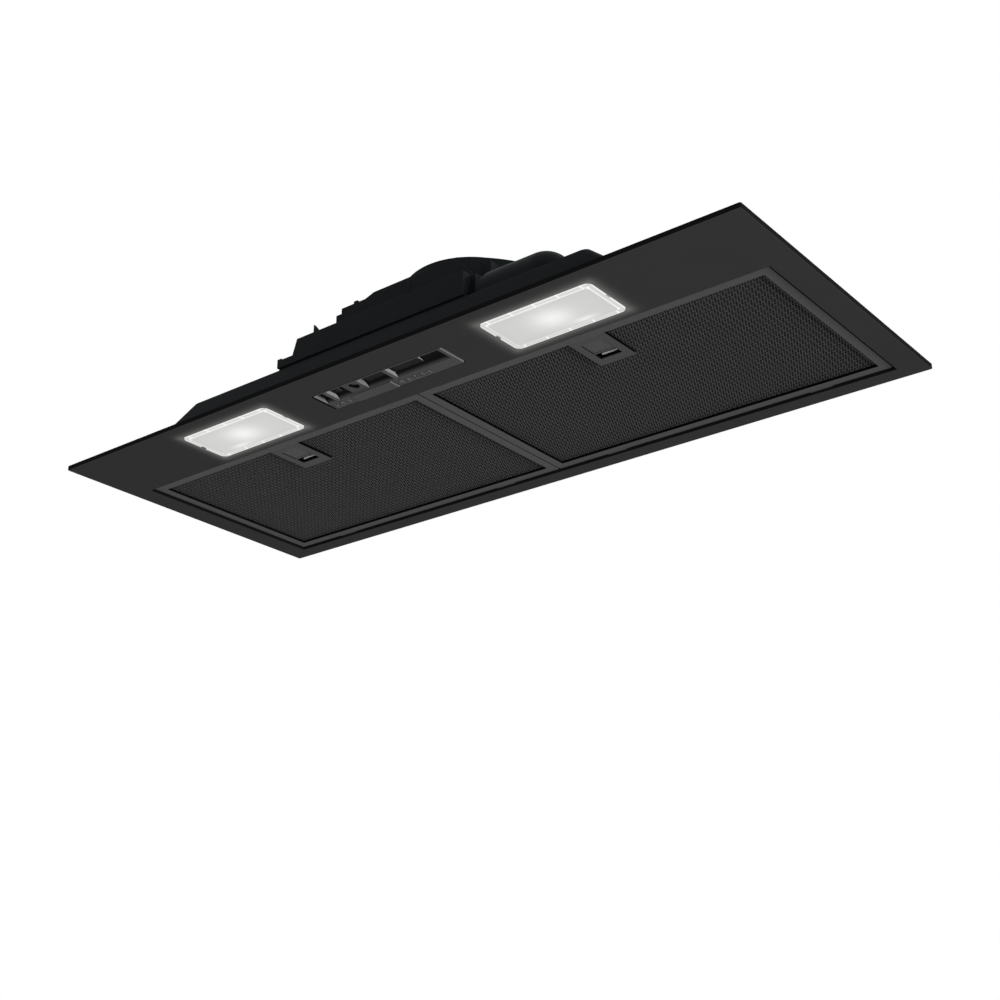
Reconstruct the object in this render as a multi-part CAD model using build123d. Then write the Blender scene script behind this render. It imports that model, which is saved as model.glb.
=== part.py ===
from build123d import *
import os
from math import asin, atan2, cos, degrees, hypot, radians, sin, sqrt

# Built-in range hood for a wall cabinet. A flat fascia plate closes the cabinet's cut-out
# from below and carries the grease filters, the lamps and the slide controls. The body
# above it is an air chamber, a lamp and control housing, and a flat drum with a
# vertical-axis fan that blows up through a round duct collar.
# Millimetres. The origin is the centre of the plate in the plane of the cabinet's
# underside, +X to the right, +Y to the wall, +Z up.

# Fascia plate
PLATE_WIDTH = 700.0
PLATE_DEPTH = 295.0
RIM_HEIGHT = 4.0
PLATE_SHEET = 1.0
RIM_RETURN = 11.0
PLATE_CORNER = 1.5
RIM_BEND = 0.6
OPENING_BEND = 1.5

# Filter opening in the plate, as bands left between it and the plate's edges
SIDE_BAND = 24.0
FRONT_BAND = 79.5
REAR_BAND = 18.0
OPENING_WALL = 9.0

# Grease filters
FILTER_GAP = 1.0
FILTER_MEETING_GAP = 1.0
FILTER_RECESS = 1.8
FILTER_HEIGHT = 8.5
FILTER_RAIL = 8.0
FILTER_SHEET = 0.8
FILTER_HEM = 2.4
FILTER_LIP = 4.0
FILTER_CORNER = 1.5
MESH_CLEARANCE = 0.3
PIVOT_SETBACK = 0.2
PIVOT_RISE = 0.3
LUG_WIDTH = 20.0
LUG_LENGTH = 2.6
LUG_THICKNESS = 1.2
LUG_SPREAD = 200.0
LUG_CLEARANCE = 0.5
LUG_SLOT_HEIGHT = 4.0

# Filter latch
LATCH_WIDTH = 33.5
LATCH_LENGTH = 44.0
LATCH_TOP_GAP = 0.4
LATCH_ROOF = 1.0
LATCH_FLANGE = 0.8
LATCH_FLANGE_REACH = 3.5
LATCH_SHELF = 2.3
LATCH_SHELF_WIDTH = 15.0
LATCH_CORNER = 1.5
RECESS_WIDTH = 20.0
RECESS_LENGTH = 27.0
RECESS_FRONT_WALL = 7.5
BUTTON_LENGTH = 17.5
BUTTON_SINK = 0.5
BUTTON_CLEARANCE = 0.5
BUTTON_LIP = 1.2
BUTTON_HEIGHT = 5.6
BUTTON_DOT_RADIUS = 0.9
BUTTON_DOT_PITCH_ACROSS = 6.1
BUTTON_DOT_PITCH_ALONG = 4.05
WING_REACH = 1.8
WING_HEIGHT = 1.4
TONGUE_WIDTH = 12.0
TONGUE_HEIGHT = 2.2
TONGUE_STOP_GAP = 0.3
LATCH_TRAVEL = 6.0
SPRING_STRIP = 0.5
SPRING_SWING = 6.0
SPRING_HEIGHT = 1.6
SPRING_LEGS = 5

# Air chamber
CHAMBER_SIDE_SETBACK = 20.5
CHAMBER_REAR_SETBACK = 14.5
CHAMBER_FRONT_MARGIN = 7.5
CHAMBER_SHOULDER = 8.0
CHAMBER_ROOF = 44.0
CHAMBER_SIDE_DRAW = 39.5
CHAMBER_WALL = 1.2
CHAMBER_EDGE_RADIUS = 5.0

# Lamp and control housing in front of the air chamber
FRONT_HOUSING_TOP = 26.0
FRONT_HOUSING_LEFT = 207.5
FRONT_HOUSING_LEFT_RUN = 50.5
FRONT_HOUSING_RIGHT = 214.0
FRONT_HOUSING_RIGHT_RUN = 35.0
FRONT_HOUSING_SETBACK = 14.5
FRONT_HOUSING_DRAFT = 5.0
FRONT_HOUSING_WALL = 2.0
FRONT_HOUSING_CORNER = 5.0

# Lamps
LENS_LENGTH = 101.5
LENS_WIDTH = 49.5
LENS_CORNER = 5.0
LENS_SETBACK = 18.2
LENS_CENTRE = 164.75
LENS_THICKNESS = 1.1
LENS_PROUD = 0.3
LENS_RIM = 1.0
LENS_GROOVE = 0.5
LENS_PANEL_INSET = 4.3
LENS_PANEL_CORNER = 3.0
LENS_PANEL_RISE = 0.3
LENS_WEBS = 5
LENS_WEB_WIDTH = 0.9
LENS_WEB_MARGIN = 8.0
LENS_CLEARANCE = 0.5
LENS_NOTCH_WIDTH = 6.0
LENS_NOTCH_DEPTH = 1.5
HOOK_WIDTH = 4.0
HOOK_THICKNESS = 1.2
HOOK_SPREAD = 30.0
HOOK_BARB = 1.0
LAMP_FLANGE = 1.2
LAMP_FLANGE_FRONT = 1.2
LAMP_FLANGE_REAR = 3.0
LAMP_FLANGE_ENDS = 6.0
LAMP_MOUTH_INSET = 3.2
LAMP_WALL = 1.5
LAMP_HEIGHT = 17.0
LAMP_CROWN_LENGTH = 46.0
LAMP_CROWN_WIDTH = 26.0
LED_BOARD_THICKNESS = 1.6
LED_BOARD_MARGIN = 2.0
LED_RADIUS = 4.0

# Control panel
PANEL_LENGTH = 139.4
PANEL_WIDTH = 29.8
PANEL_CORNER = 3.0
PANEL_SETBACK = 28.3
PANEL_CLEARANCE = 0.8
PANEL_PROUD = 0.2
BEZEL_FLANGE = 3.0
BEZEL_FLANGE_THICKNESS = 1.5
BEZEL_HEIGHT = 7.5
BEZEL_END_BEVEL = 1.8
LEGEND_STRIP = 11.8
PLAQUE_LEFT = -42.4
PLAQUE_RIGHT = 0.9
PLAQUE_RISE = 0.8
PLAQUE_MARGIN = 0.4
CHANNEL_FRONT_WALL = 1.1
CHANNEL_LEFT_MARGIN = 2.3
CHANNEL_RIGHT_MARGIN = 4.9
CHANNEL_DEPTH = 5.0
CHANNEL_CEILING = 5.0
BRIDGE_LEFT = -37.5
BRIDGE_RIGHT = -21.0
BRIDGE_SINK = 0.4
RIDGE_WIDTH = 4.0
PILOT_RADIUS = 4.6
PILOT_CLEARANCE = 0.2
PILOT_FROM_RIGHT = 7.6
PILOT_FROM_FRONT = 6.4
PILOT_RING = 1.4
PILOT_RING_RISE = 0.3
PILOT_SINK = 1.2
SLIDER_CLEARANCE = 0.4
LIGHT_RIDGE_X = -56.0
LIGHT_TRAVEL = 8.0
SPEED_RIDGE_X = 8.4
SPEED_STEP = 7.7
SPEED_STEPS = 3
SPEED_SKIRT_LENGTH = 30.4
SPEED_SKIRT_SINK = 3.0
SPEED_SHUTTER_LENGTH = 24.0
SHUTTER_THICKNESS = 1.4
STEM_SETBACK = 4.0
STEM_LENGTH = 5.0
STEM_WIDTH = 3.0
STEM_HEIGHT = 7.0
SWITCH_BLOCK_HEIGHT = 11.0
SWITCH_BLOCK_MARGIN = 3.7

# Fan base, the tray under the fan drum, with an apron over the front housing
FAN_AXIS_Y = 2.0
FAN_BASE_LEFT = -101.5
FAN_BASE_RIGHT = 99.0
PILLAR_RIGHT = 104.0
PILLAR_SETBACK = 9.0
FAN_BASE_SETBACK = 18.5
FAN_BASE_HEIGHT = 4.5
FAN_BASE_SHEET = 2.5
FAN_BASE_MARGIN = 2.0
APRON_GAP = 2.0
EAR_HEIGHT = 8.0
EAR_WIDTH = 4.5
EAR_STEP_WIDTH = 13.0
EAR_STEP_DROP = 1.2
APRON_RAKE = 4.5
TAB_X = -59.3
TAB_HEIGHT = 9.0
TAB_WIDTH = 7.5

# Fan drum
DRUM_RADIUS = 112.0
DRUM_FLAT = 94.0
DRUM_HEIGHT = 40.0
DRUM_WALL = 2.5
DRUM_FLANGE = 7.0
DRUM_FLANGE_THICKNESS = 2.5
DRUM_LIP_HEIGHT = 3.2
DRUM_LIP_WIDTH = 3.0
DRUM_LIP_START = -39.0
DRUM_LIP_RAMP = 13.0
LEFT_BOSS_X = -72.0
LEFT_BOSS_STEP = 6.0
LEFT_BOSS_DROP = 5.0
LEFT_BOSS_DEPTH = 14.0
RIGHT_BOSS_X = 87.0
RIGHT_BOSS_WIDTH = 25.0
RIGHT_BOSS_SETBACK = 12.0
RIGHT_BOSS_DEPTH = 24.0
RIGHT_BOSS_DROP = 4.0
NUB_X = -50.0
NUB_WIDTH = 4.0
NUB_HEIGHT = 2.0
WING_LENGTH = 26.0
WING_THICKNESS = 2.5
WING_FULLNESS = 0.58
GUSSET_COUNT = 8
GUSSET_FIRST_ANGLE = -42.0
GUSSET_LAST_ANGLE = 222.0
GUSSET_REACH = 6.0
GUSSET_TOP_GAP = 6.0
GUSSET_HOLLOW = 0.35
SEAM_RIB_X = 10.0
SEAM_RIB_WIDTH = 2.0
SEAM_RIB_PROUD = 0.8

# Duct collar and its non-return flaps
DUCT_RADIUS = 59.5
COLLAR_WALL = 2.0
COLLAR_HEIGHT = 35.5
COLLAR_FLANGE = 12.0
COLLAR_FLANGE_THICKNESS = 3.0
COLLAR_LEAD = 0.8
FLAP_SEAT_HEIGHT = 20.5
FLAP_SEAT_THICKNESS = 2.0
FLAP_SEAT_WIDTH = 4.0
FLAP_SEAT_GAP = 0.3
FLAP_THICKNESS = 1.5
FLAP_EDGE_GAP = 1.2
FLAP_AXIS_OFFSET = 3.5
FLAP_BARREL_RADIUS = 1.7
FLAP_BARREL_RISE = 0.3
FLAP_STUB_RADIUS = 1.2
FLAP_STUB_CLEARANCE = 0.1
FLAP_END_GAP = 0.8

# Fan
INLET_RADIUS = 46.9
INLET_WALL = 1.5
INLET_BELL = 13.1
INLET_FLANGE = 14.0
IMPELLER_RADIUS = 76.0
IMPELLER_EYE = 49.6
IMPELLER_SHEET = 1.6
IMPELLER_EYE_LIP = 2.5
IMPELLER_HEIGHT = 22.0
SHROUD_BACK = 1.0
BLADE_COUNT = 11
BLADE_INNER_RADIUS = 52.0
BLADE_SWEEP_ANGLE = 28.0
BLADE_CURVE_RADIUS = 45.0
BLADE_THICKNESS = 1.6
DISH_DEPTH = 10.0
DISH_RADIUS = 36.0
DISH_RUN = 6.0
HUB_RADIUS = 9.0
HUB_LENGTH = 8.0
SHAFT_RADIUS = 4.0
SHAFT_CLEARANCE = 0.05
SHAFT_LENGTH = 36.0
MOTOR_RADIUS = 31.0
MOTOR_HEIGHT = 27.0
MOTOR_DISH_GAP = 2.5
MOTOR_FLANGE = 7.0
MOTOR_FLANGE_THICKNESS = 2.0
MOTOR_EDGE_BEVEL = 3.0
MOTOR_SLOT_COUNT = 9
MOTOR_SLOT_DEPTH = 1.2
BRACKET_THICKNESS = 4.0
BRACKET_RING = 8.0
BRACKET_ARM_WIDTH = 11.0
BRACKET_ARMS = 3
BRACKET_REACH = 84.0
BRACKET_CLEARANCE = 0.3

# Electrics box on the front housing, with the capacitor and the terminal block
ELECTRICS_LEFT = 108.0
ELECTRICS_LENGTH = 72.0
ELECTRICS_SETBACK = 23.5
ELECTRICS_REAR_GAP = 1.5
ELECTRICS_HEIGHT = 26.0
ELECTRICS_WALL = 2.0
ELECTRICS_ROUND = 20.0
ELECTRICS_END_RADIUS = 22.0
ELECTRICS_CAVITY_BEVEL = 14.0
CAPACITOR_RADIUS = 7.5
CAPACITOR_LENGTH = 36.0
CAPACITOR_REAR_GAP = 4.0
CAPACITOR_PIN_RADIUS = 1.0
TERMINAL_LENGTH = 36.0
TERMINAL_WIDTH = 12.0
TERMINAL_HEIGHT = 11.0
TERMINAL_FRONT_GAP = 3.0
TERMINAL_WAYS = 4
INNER_GAP = 0.3

# Cable gland on the chamber's roof
GLAND_X = -150.0
GLAND_Y = 70.0
GLAND_RADIUS = 8.0
GLAND_BORE = 4.0
GLAND_HEX = 22.0
GLAND_HEX_HEIGHT = 4.0
GLAND_DOME_HEIGHT = 11.0
GLAND_CLEARANCE = 0.2

# Sprung catches that hold the hood over the edge of the cabinet's cut-out
CATCH_WIDTH = 36.0
CATCH_SHEET = 1.5
CATCH_LENGTH = 25.0
CATCH_DROOP_ANGLE = 30.0
CATCH_UP_SLOPE = 25.0
CATCH_BARREL = 3.0
CATCH_PIN_RADIUS = 1.5
CATCH_PIN_CLEARANCE = 0.1
CATCH_SIDE_GAP = 0.4
CATCH_EAR = 2.0
BRACKET_SHEET = 1.2
CATCH_BASE_LENGTH = 22.0
CATCH_Y = 30.0

# Screws
SCREW_RADIUS = 1.5
SCREW_HOLE_CLEARANCE = 0.2
SCREW_HEAD_RADIUS = 3.0
SCREW_HEAD_HEIGHT = 2.0
DRUM_SCREWS = 6
DRUM_SCREW_FIRST_ANGLE = -30.0
DRUM_SCREW_LAST_ANGLE = 210.0
COLLAR_SCREWS = 4
BRACKET_SCREW_INSET = 7.0

# Plate edges, levels and the filter opening
FRONT = -PLATE_DEPTH / 2
REAR = PLATE_DEPTH / 2
UNDERSIDE = -RIM_HEIGHT
INSIDE = UNDERSIDE + PLATE_SHEET
OPENING_X = PLATE_WIDTH / 2 - SIDE_BAND
OPENING_FRONT = FRONT + FRONT_BAND
OPENING_REAR = REAR - REAR_BAND
OPENING_TOP = INSIDE + OPENING_WALL

# Filters
FILTER_WIDTH = OPENING_X - FILTER_GAP - FILTER_MEETING_GAP / 2
FILTER_X = FILTER_MEETING_GAP / 2 + FILTER_WIDTH / 2
FILTER_FRONT = OPENING_FRONT + FILTER_GAP
FILTER_REAR = OPENING_REAR - FILTER_GAP
FILTER_BOTTOM = UNDERSIDE + FILTER_RECESS
FILTER_TOP = FILTER_BOTTOM + FILTER_HEIGHT
PIVOT_Y = FILTER_REAR + PIVOT_SETBACK
PIVOT_Z = FILTER_BOTTOM + PIVOT_RISE

# Latch levels
LATCH_FRONT = FILTER_FRONT + FILTER_RAIL
LATCH_REAR = LATCH_FRONT + LATCH_LENGTH
LATCH_TOP = FILTER_TOP - FILTER_SHEET - LATCH_TOP_GAP
RECESS_FRONT = LATCH_FRONT + RECESS_FRONT_WALL
RECESS_REAR = RECESS_FRONT + RECESS_LENGTH
RECESS_TOP = LATCH_TOP - LATCH_ROOF
BUTTON_BOTTOM = FILTER_BOTTOM + BUTTON_SINK
BUTTON_FRONT = RECESS_FRONT + BUTTON_CLEARANCE
BUTTON_REAR = BUTTON_FRONT + BUTTON_LENGTH
BUTTON_TOP = BUTTON_BOTTOM + BUTTON_HEIGHT
TONGUE_TOP = BUTTON_TOP
TONGUE_BOTTOM = TONGUE_TOP - TONGUE_HEIGHT
TONGUE_TIP = OPENING_FRONT + TONGUE_STOP_GAP

# Air chamber and front housing
CHAMBER_X = PLATE_WIDTH / 2 - CHAMBER_SIDE_SETBACK
CHAMBER_FRONT = OPENING_FRONT - CHAMBER_FRONT_MARGIN
CHAMBER_REAR = REAR - CHAMBER_REAR_SETBACK
FRONT_HOUSING_FOOT = FRONT + FRONT_HOUSING_SETBACK

# Lamps and control panel
LENS_FRONT = FRONT + LENS_SETBACK
LENS_Y = LENS_FRONT + LENS_WIDTH / 2
LENS_TOP = UNDERSIDE - LENS_PROUD + LENS_THICKNESS
PANEL_FRONT = FRONT + PANEL_SETBACK
PANEL_Y = PANEL_FRONT + PANEL_WIDTH / 2
PANEL_FACE = UNDERSIDE - PANEL_PROUD
BEZEL_TOP = PANEL_FACE + BEZEL_HEIGHT
CHANNEL_LEFT = CHANNEL_LEFT_MARGIN - PANEL_LENGTH / 2
CHANNEL_RIGHT = PANEL_LENGTH / 2 - CHANNEL_RIGHT_MARGIN
CHANNEL_FRONT = PANEL_FRONT + CHANNEL_FRONT_WALL
CHANNEL_REAR = PANEL_FRONT + PANEL_WIDTH - LEGEND_STRIP
CHANNEL_TOP = PANEL_FACE + CHANNEL_DEPTH
STEM_Y = CHANNEL_FRONT + STEM_SETBACK
SPEED_TRAVEL = SPEED_STEP * SPEED_STEPS

# Fan tower levels
FAN_BASE_TOP = CHAMBER_ROOF + FAN_BASE_HEIGHT
FAN_BASE_FRONT = FRONT + FAN_BASE_SETBACK
APRON_BOTTOM = FRONT_HOUSING_TOP + APRON_GAP
DRUM_TOP = FAN_BASE_TOP + DRUM_HEIGHT
DRUM_CEILING = DRUM_TOP - DRUM_WALL
COLLAR_TOP = DRUM_TOP + COLLAR_HEIGHT
FLAP_SEAT_TOP = DRUM_TOP + FLAP_SEAT_HEIGHT + FLAP_SEAT_THICKNESS
FLAP_BOTTOM = FLAP_SEAT_TOP + FLAP_SEAT_GAP
FLAP_AXIS_Z = FLAP_BOTTOM + FLAP_BARREL_RADIUS + FLAP_BARREL_RISE
COLLAR_BORE = DUCT_RADIUS - COLLAR_WALL
INLET_TOP = CHAMBER_ROOF + INLET_BELL
SHROUD_BOTTOM = INLET_TOP - SHROUD_BACK
BACKPLATE_TOP = SHROUD_BOTTOM + IMPELLER_HEIGHT
DISH_FLOOR = BACKPLATE_TOP - DISH_DEPTH
MOTOR_BOTTOM = DISH_FLOOR + MOTOR_DISH_GAP
BRACKET_BOTTOM = DRUM_CEILING - BRACKET_THICKNESS
FAN_CENTRE = (0, FAN_AXIS_Y)

SIDES = {"left": -1, "right": 1}


def block(x0, x1, y0, y1, z0, z1):
    """Box between two opposite corners."""
    return Pos((x0 + x1) / 2, (y0 + y1) / 2, (z0 + z1) / 2) * Box(x1 - x0, y1 - y0, z1 - z0)


def rounded_block(length, width, corner, z0, z1, centre=(0, 0)):
    """Upright block with rounded corners in plan."""
    outline = RectangleRounded(length, width, corner)
    return Pos(centre[0], centre[1], z0) * extrude(outline, z1 - z0)


def rod(radius, z0, z1, centre=(0, 0)):
    """Upright cylinder."""
    return Pos(centre[0], centre[1], (z0 + z1) / 2) * Cylinder(radius, z1 - z0)


def tube(outer, inner, z0, z1, centre=(0, 0)):
    """Upright tube."""
    overrun = 1
    return rod(outer, z0, z1, centre) - rod(inner, z0 - overrun, z1 + overrun, centre)


def rod_along_x(radius, x0, x1, y, z):
    """Cylinder lying along X."""
    return Pos((x0 + x1) / 2, y, z) * Rot(0, 90, 0) * Cylinder(radius, x1 - x0)


def rod_along_y(radius, y0, y1, x, z):
    """Cylinder lying along Y."""
    return Pos(x, (y0 + y1) / 2, z) * Rot(90, 0, 0) * Cylinder(radius, y1 - y0)


def prism_along_y(outline, y0, y1):
    """Extrude a closed XZ outline from y0 to y1."""
    plane = Plane(origin=(0, y1, 0), x_dir=(1, 0, 0), z_dir=(0, -1, 0))
    return extrude(plane * make_face(outline), y1 - y0, dir=(0, -1, 0))


def prism_along_x(outline, x0, x1):
    """Extrude a closed YZ outline from x0 to x1."""
    plane = Plane(origin=(x0, 0, 0), x_dir=(0, 1, 0), z_dir=(1, 0, 0))
    return extrude(plane * make_face(outline), x1 - x0, dir=(1, 0, 0))


def polygon(*points):
    """Closed line through the points."""
    return Polyline(*points, close=True)


def turned(outline, centre=(0, 0)):
    """Revolve a closed radius and height outline about an upright axis."""
    face = Plane.XZ * make_face(outline)
    return Pos(centre[0], centre[1], 0) * revolve(face, Axis.Z)


def around(count, radius, start=0.0, centre=(0, 0)):
    """Evenly spaced points on a circle, with their angles in degrees."""
    angles = [start + 360 * step / count for step in range(count)]
    return [(centre[0] + radius * cos(radians(a)), centre[1] + radius * sin(radians(a)), a) for a in angles]


def screw(x, y, seat, tip):
    """Pan-head screw standing upright, its head seated at one level and its tip at another."""
    head = rod(SCREW_HEAD_RADIUS, seat, seat + SCREW_HEAD_HEIGHT, (x, y))
    return head + rod(SCREW_RADIUS, tip, seat, (x, y))


def screw_hole(x, y, z0, z1):
    """Clearance hole for a screw, run past both faces."""
    overrun = 1
    return rod(SCREW_RADIUS + SCREW_HOLE_CLEARANCE, z0 - overrun, z1 + overrun, (x, y))


# Places of the screws, shared by the pieces that they pass through
DRUM_SCREW_RADIUS = DRUM_RADIUS + DRUM_FLANGE / 2
DRUM_SCREW_STEP_ANGLE = (DRUM_SCREW_LAST_ANGLE - DRUM_SCREW_FIRST_ANGLE) / (DRUM_SCREWS - 1)
DRUM_SCREW_PLACES = [
    (DRUM_SCREW_RADIUS * cos(radians(a)), FAN_AXIS_Y + DRUM_SCREW_RADIUS * sin(radians(a)))
    for a in [DRUM_SCREW_FIRST_ANGLE + DRUM_SCREW_STEP_ANGLE * step for step in range(DRUM_SCREWS)]
]
COLLAR_SCREW_RADIUS = DUCT_RADIUS + COLLAR_FLANGE / 2
COLLAR_SCREW_PLACES = around(COLLAR_SCREWS, COLLAR_SCREW_RADIUS, 45, FAN_CENTRE)
BRACKET_SCREW_PLACES = around(BRACKET_ARMS, BRACKET_REACH - BRACKET_SCREW_INSET, 90, FAN_CENTRE)


def at_opening(edge):
    """True for an edge on the outline of the filter opening."""
    middle = edge.center()
    return abs(middle.X) <= OPENING_X + 1 and OPENING_FRONT - 1 <= middle.Y <= OPENING_REAR + 1


def fascia_plate():
    """Folded steel plate with its rim, the filter opening and the lamp and panel cut-outs."""
    plate = rounded_block(PLATE_WIDTH, PLATE_DEPTH, PLATE_CORNER, UNDERSIDE, 0)
    lower_edges = plate.edges().group_by(Axis.Z)[0]
    plate = fillet(lower_edges, RIM_BEND)
    inner_width = PLATE_WIDTH - 2 * PLATE_SHEET
    inner_depth = PLATE_DEPTH - 2 * PLATE_SHEET
    plate -= block(-inner_width / 2, inner_width / 2, -inner_depth / 2, inner_depth / 2, INSIDE, -PLATE_SHEET)
    mouth_width = inner_width - 2 * RIM_RETURN
    mouth_depth = inner_depth - 2 * RIM_RETURN
    plate -= block(-mouth_width / 2, mouth_width / 2, -mouth_depth / 2, mouth_depth / 2, -PLATE_SHEET, 1)
    wall_x = OPENING_X + PLATE_SHEET
    wall_front = OPENING_FRONT - PLATE_SHEET
    wall_rear = OPENING_REAR + PLATE_SHEET
    plate += block(-wall_x, wall_x, wall_front, wall_rear, INSIDE, OPENING_TOP)
    plate -= block(-OPENING_X, OPENING_X, OPENING_FRONT, OPENING_REAR, UNDERSIDE - 1, OPENING_TOP + 1)
    mouth = plate.edges().group_by(Axis.Z)[0].filter_by(GeomType.LINE)
    plate = chamfer(mouth.filter_by(at_opening), OPENING_BEND)
    for side in SIDES.values():
        plate -= rounded_block(
            LENS_LENGTH + 2 * LENS_CLEARANCE, LENS_WIDTH + 2 * LENS_CLEARANCE, LENS_CORNER + LENS_CLEARANCE,
            UNDERSIDE - 1, INSIDE + 1, (side * LENS_CENTRE, LENS_Y))
        keeper = TONGUE_WIDTH / 2 + LUG_CLEARANCE
        plate -= block(
            side * FILTER_X - keeper, side * FILTER_X + keeper, wall_front - 1, OPENING_FRONT + 1,
            TONGUE_BOTTOM - LUG_CLEARANCE, TONGUE_TOP + LUG_CLEARANCE)
        for lug in (-1, 1):
            lug_x = side * FILTER_X + lug * LUG_SPREAD / 2
            half = LUG_WIDTH / 2 + LUG_CLEARANCE
            floor = FILTER_BOTTOM - MESH_CLEARANCE
            plate -= block(
                lug_x - half, lug_x + half, OPENING_REAR - 1, wall_rear + 1, floor, floor + LUG_SLOT_HEIGHT)
    return plate - rounded_block(
        PANEL_LENGTH + 2 * PANEL_CLEARANCE, PANEL_WIDTH + 2 * PANEL_CLEARANCE, PANEL_CORNER + PANEL_CLEARANCE,
        UNDERSIDE - 1, INSIDE + 1, (0, PANEL_Y))


def chamber_form(inset):
    """Solid of the air chamber's outside, or of its inside when inset by the wall."""
    half = CHAMBER_X - inset
    roof = CHAMBER_ROOF - inset
    roof_half = CHAMBER_X - CHAMBER_SIDE_DRAW - inset / 2
    shoulder = CHAMBER_SHOULDER - inset / 2
    outline = polygon(
        (-half, INSIDE), (-half, shoulder), (-roof_half, roof),
        (roof_half, roof), (half, shoulder), (half, INSIDE))
    form = prism_along_y(outline, CHAMBER_FRONT + inset, CHAMBER_REAR - inset)
    return fillet(form.edges().filter_by(Axis.Y).group_by(Axis.Z)[-1], CHAMBER_EDGE_RADIUS - inset)


def air_chamber():
    """Pressed chamber over the filters, open below, with the fan inlet and the gland's hole in its roof."""
    chamber = chamber_form(0) - chamber_form(CHAMBER_WALL)
    below = CHAMBER_ROOF - CHAMBER_WALL - 1
    chamber -= rod(INLET_RADIUS + INLET_BELL + 1, below, CHAMBER_ROOF + 1, FAN_CENTRE)
    gland = GLAND_RADIUS + GLAND_CLEARANCE
    return chamber - rod(gland, below, CHAMBER_ROOF + 1, (GLAND_X, GLAND_Y))


def front_housing_form(inset):
    """Solid of the front housing's outside, or of its inside when inset by the wall."""
    top = FRONT_HOUSING_TOP - inset
    left = FRONT_HOUSING_LEFT - inset
    right = FRONT_HOUSING_RIGHT - inset
    foot_left = left + FRONT_HOUSING_LEFT_RUN
    foot_right = right + FRONT_HOUSING_RIGHT_RUN
    foot = FRONT_HOUSING_FOOT + inset
    brow = foot + FRONT_HOUSING_DRAFT
    ends = polygon((-foot_left, INSIDE), (-left, top), (right, top), (foot_right, INSIDE))
    front = polygon((foot, INSIDE), (brow, top), (CHAMBER_FRONT, top), (CHAMBER_FRONT, INSIDE))
    form = prism_along_y(ends, foot, CHAMBER_FRONT) & prism_along_x(front, -foot_left, foot_right)

    def at_front_corner(edge):
        """True for the two raked edges between the front wall and the ends."""
        middle = edge.center()
        past_end = middle.X < -left or middle.X > right
        return past_end and middle.Y < CHAMBER_FRONT - 1 and INSIDE + 1 < middle.Z < top - 1

    return fillet(form.edges().filter_by(at_front_corner), FRONT_HOUSING_CORNER - inset)


def front_housing():
    """Moulded housing over the lamps and controls, open below and against the air chamber."""
    return front_housing_form(0) - front_housing_form(FRONT_HOUSING_WALL)


def fan_base_outline(inset):
    """Plan of the tray: a disc under the drum and a straight-sided front part."""
    disc = Pos(*FAN_CENTRE) * Circle(DRUM_RADIUS + DRUM_FLANGE + FAN_BASE_MARGIN - inset)
    left = FAN_BASE_LEFT + EAR_WIDTH + EAR_STEP_WIDTH + APRON_RAKE + inset
    right = FAN_BASE_RIGHT - inset
    front = FAN_BASE_FRONT + inset
    tongue = Pos((left + right) / 2, (front + FAN_AXIS_Y) / 2) * Rectangle(right - left, FAN_AXIS_Y - front)
    pillar_right = PILLAR_RIGHT - inset
    pillar_front = front + PILLAR_SETBACK
    shoulder = Pos((left + pillar_right) / 2, (pillar_front + FAN_AXIS_Y) / 2) * Rectangle(
        pillar_right - left, FAN_AXIS_Y - pillar_front)
    return disc + tongue + shoulder


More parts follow.
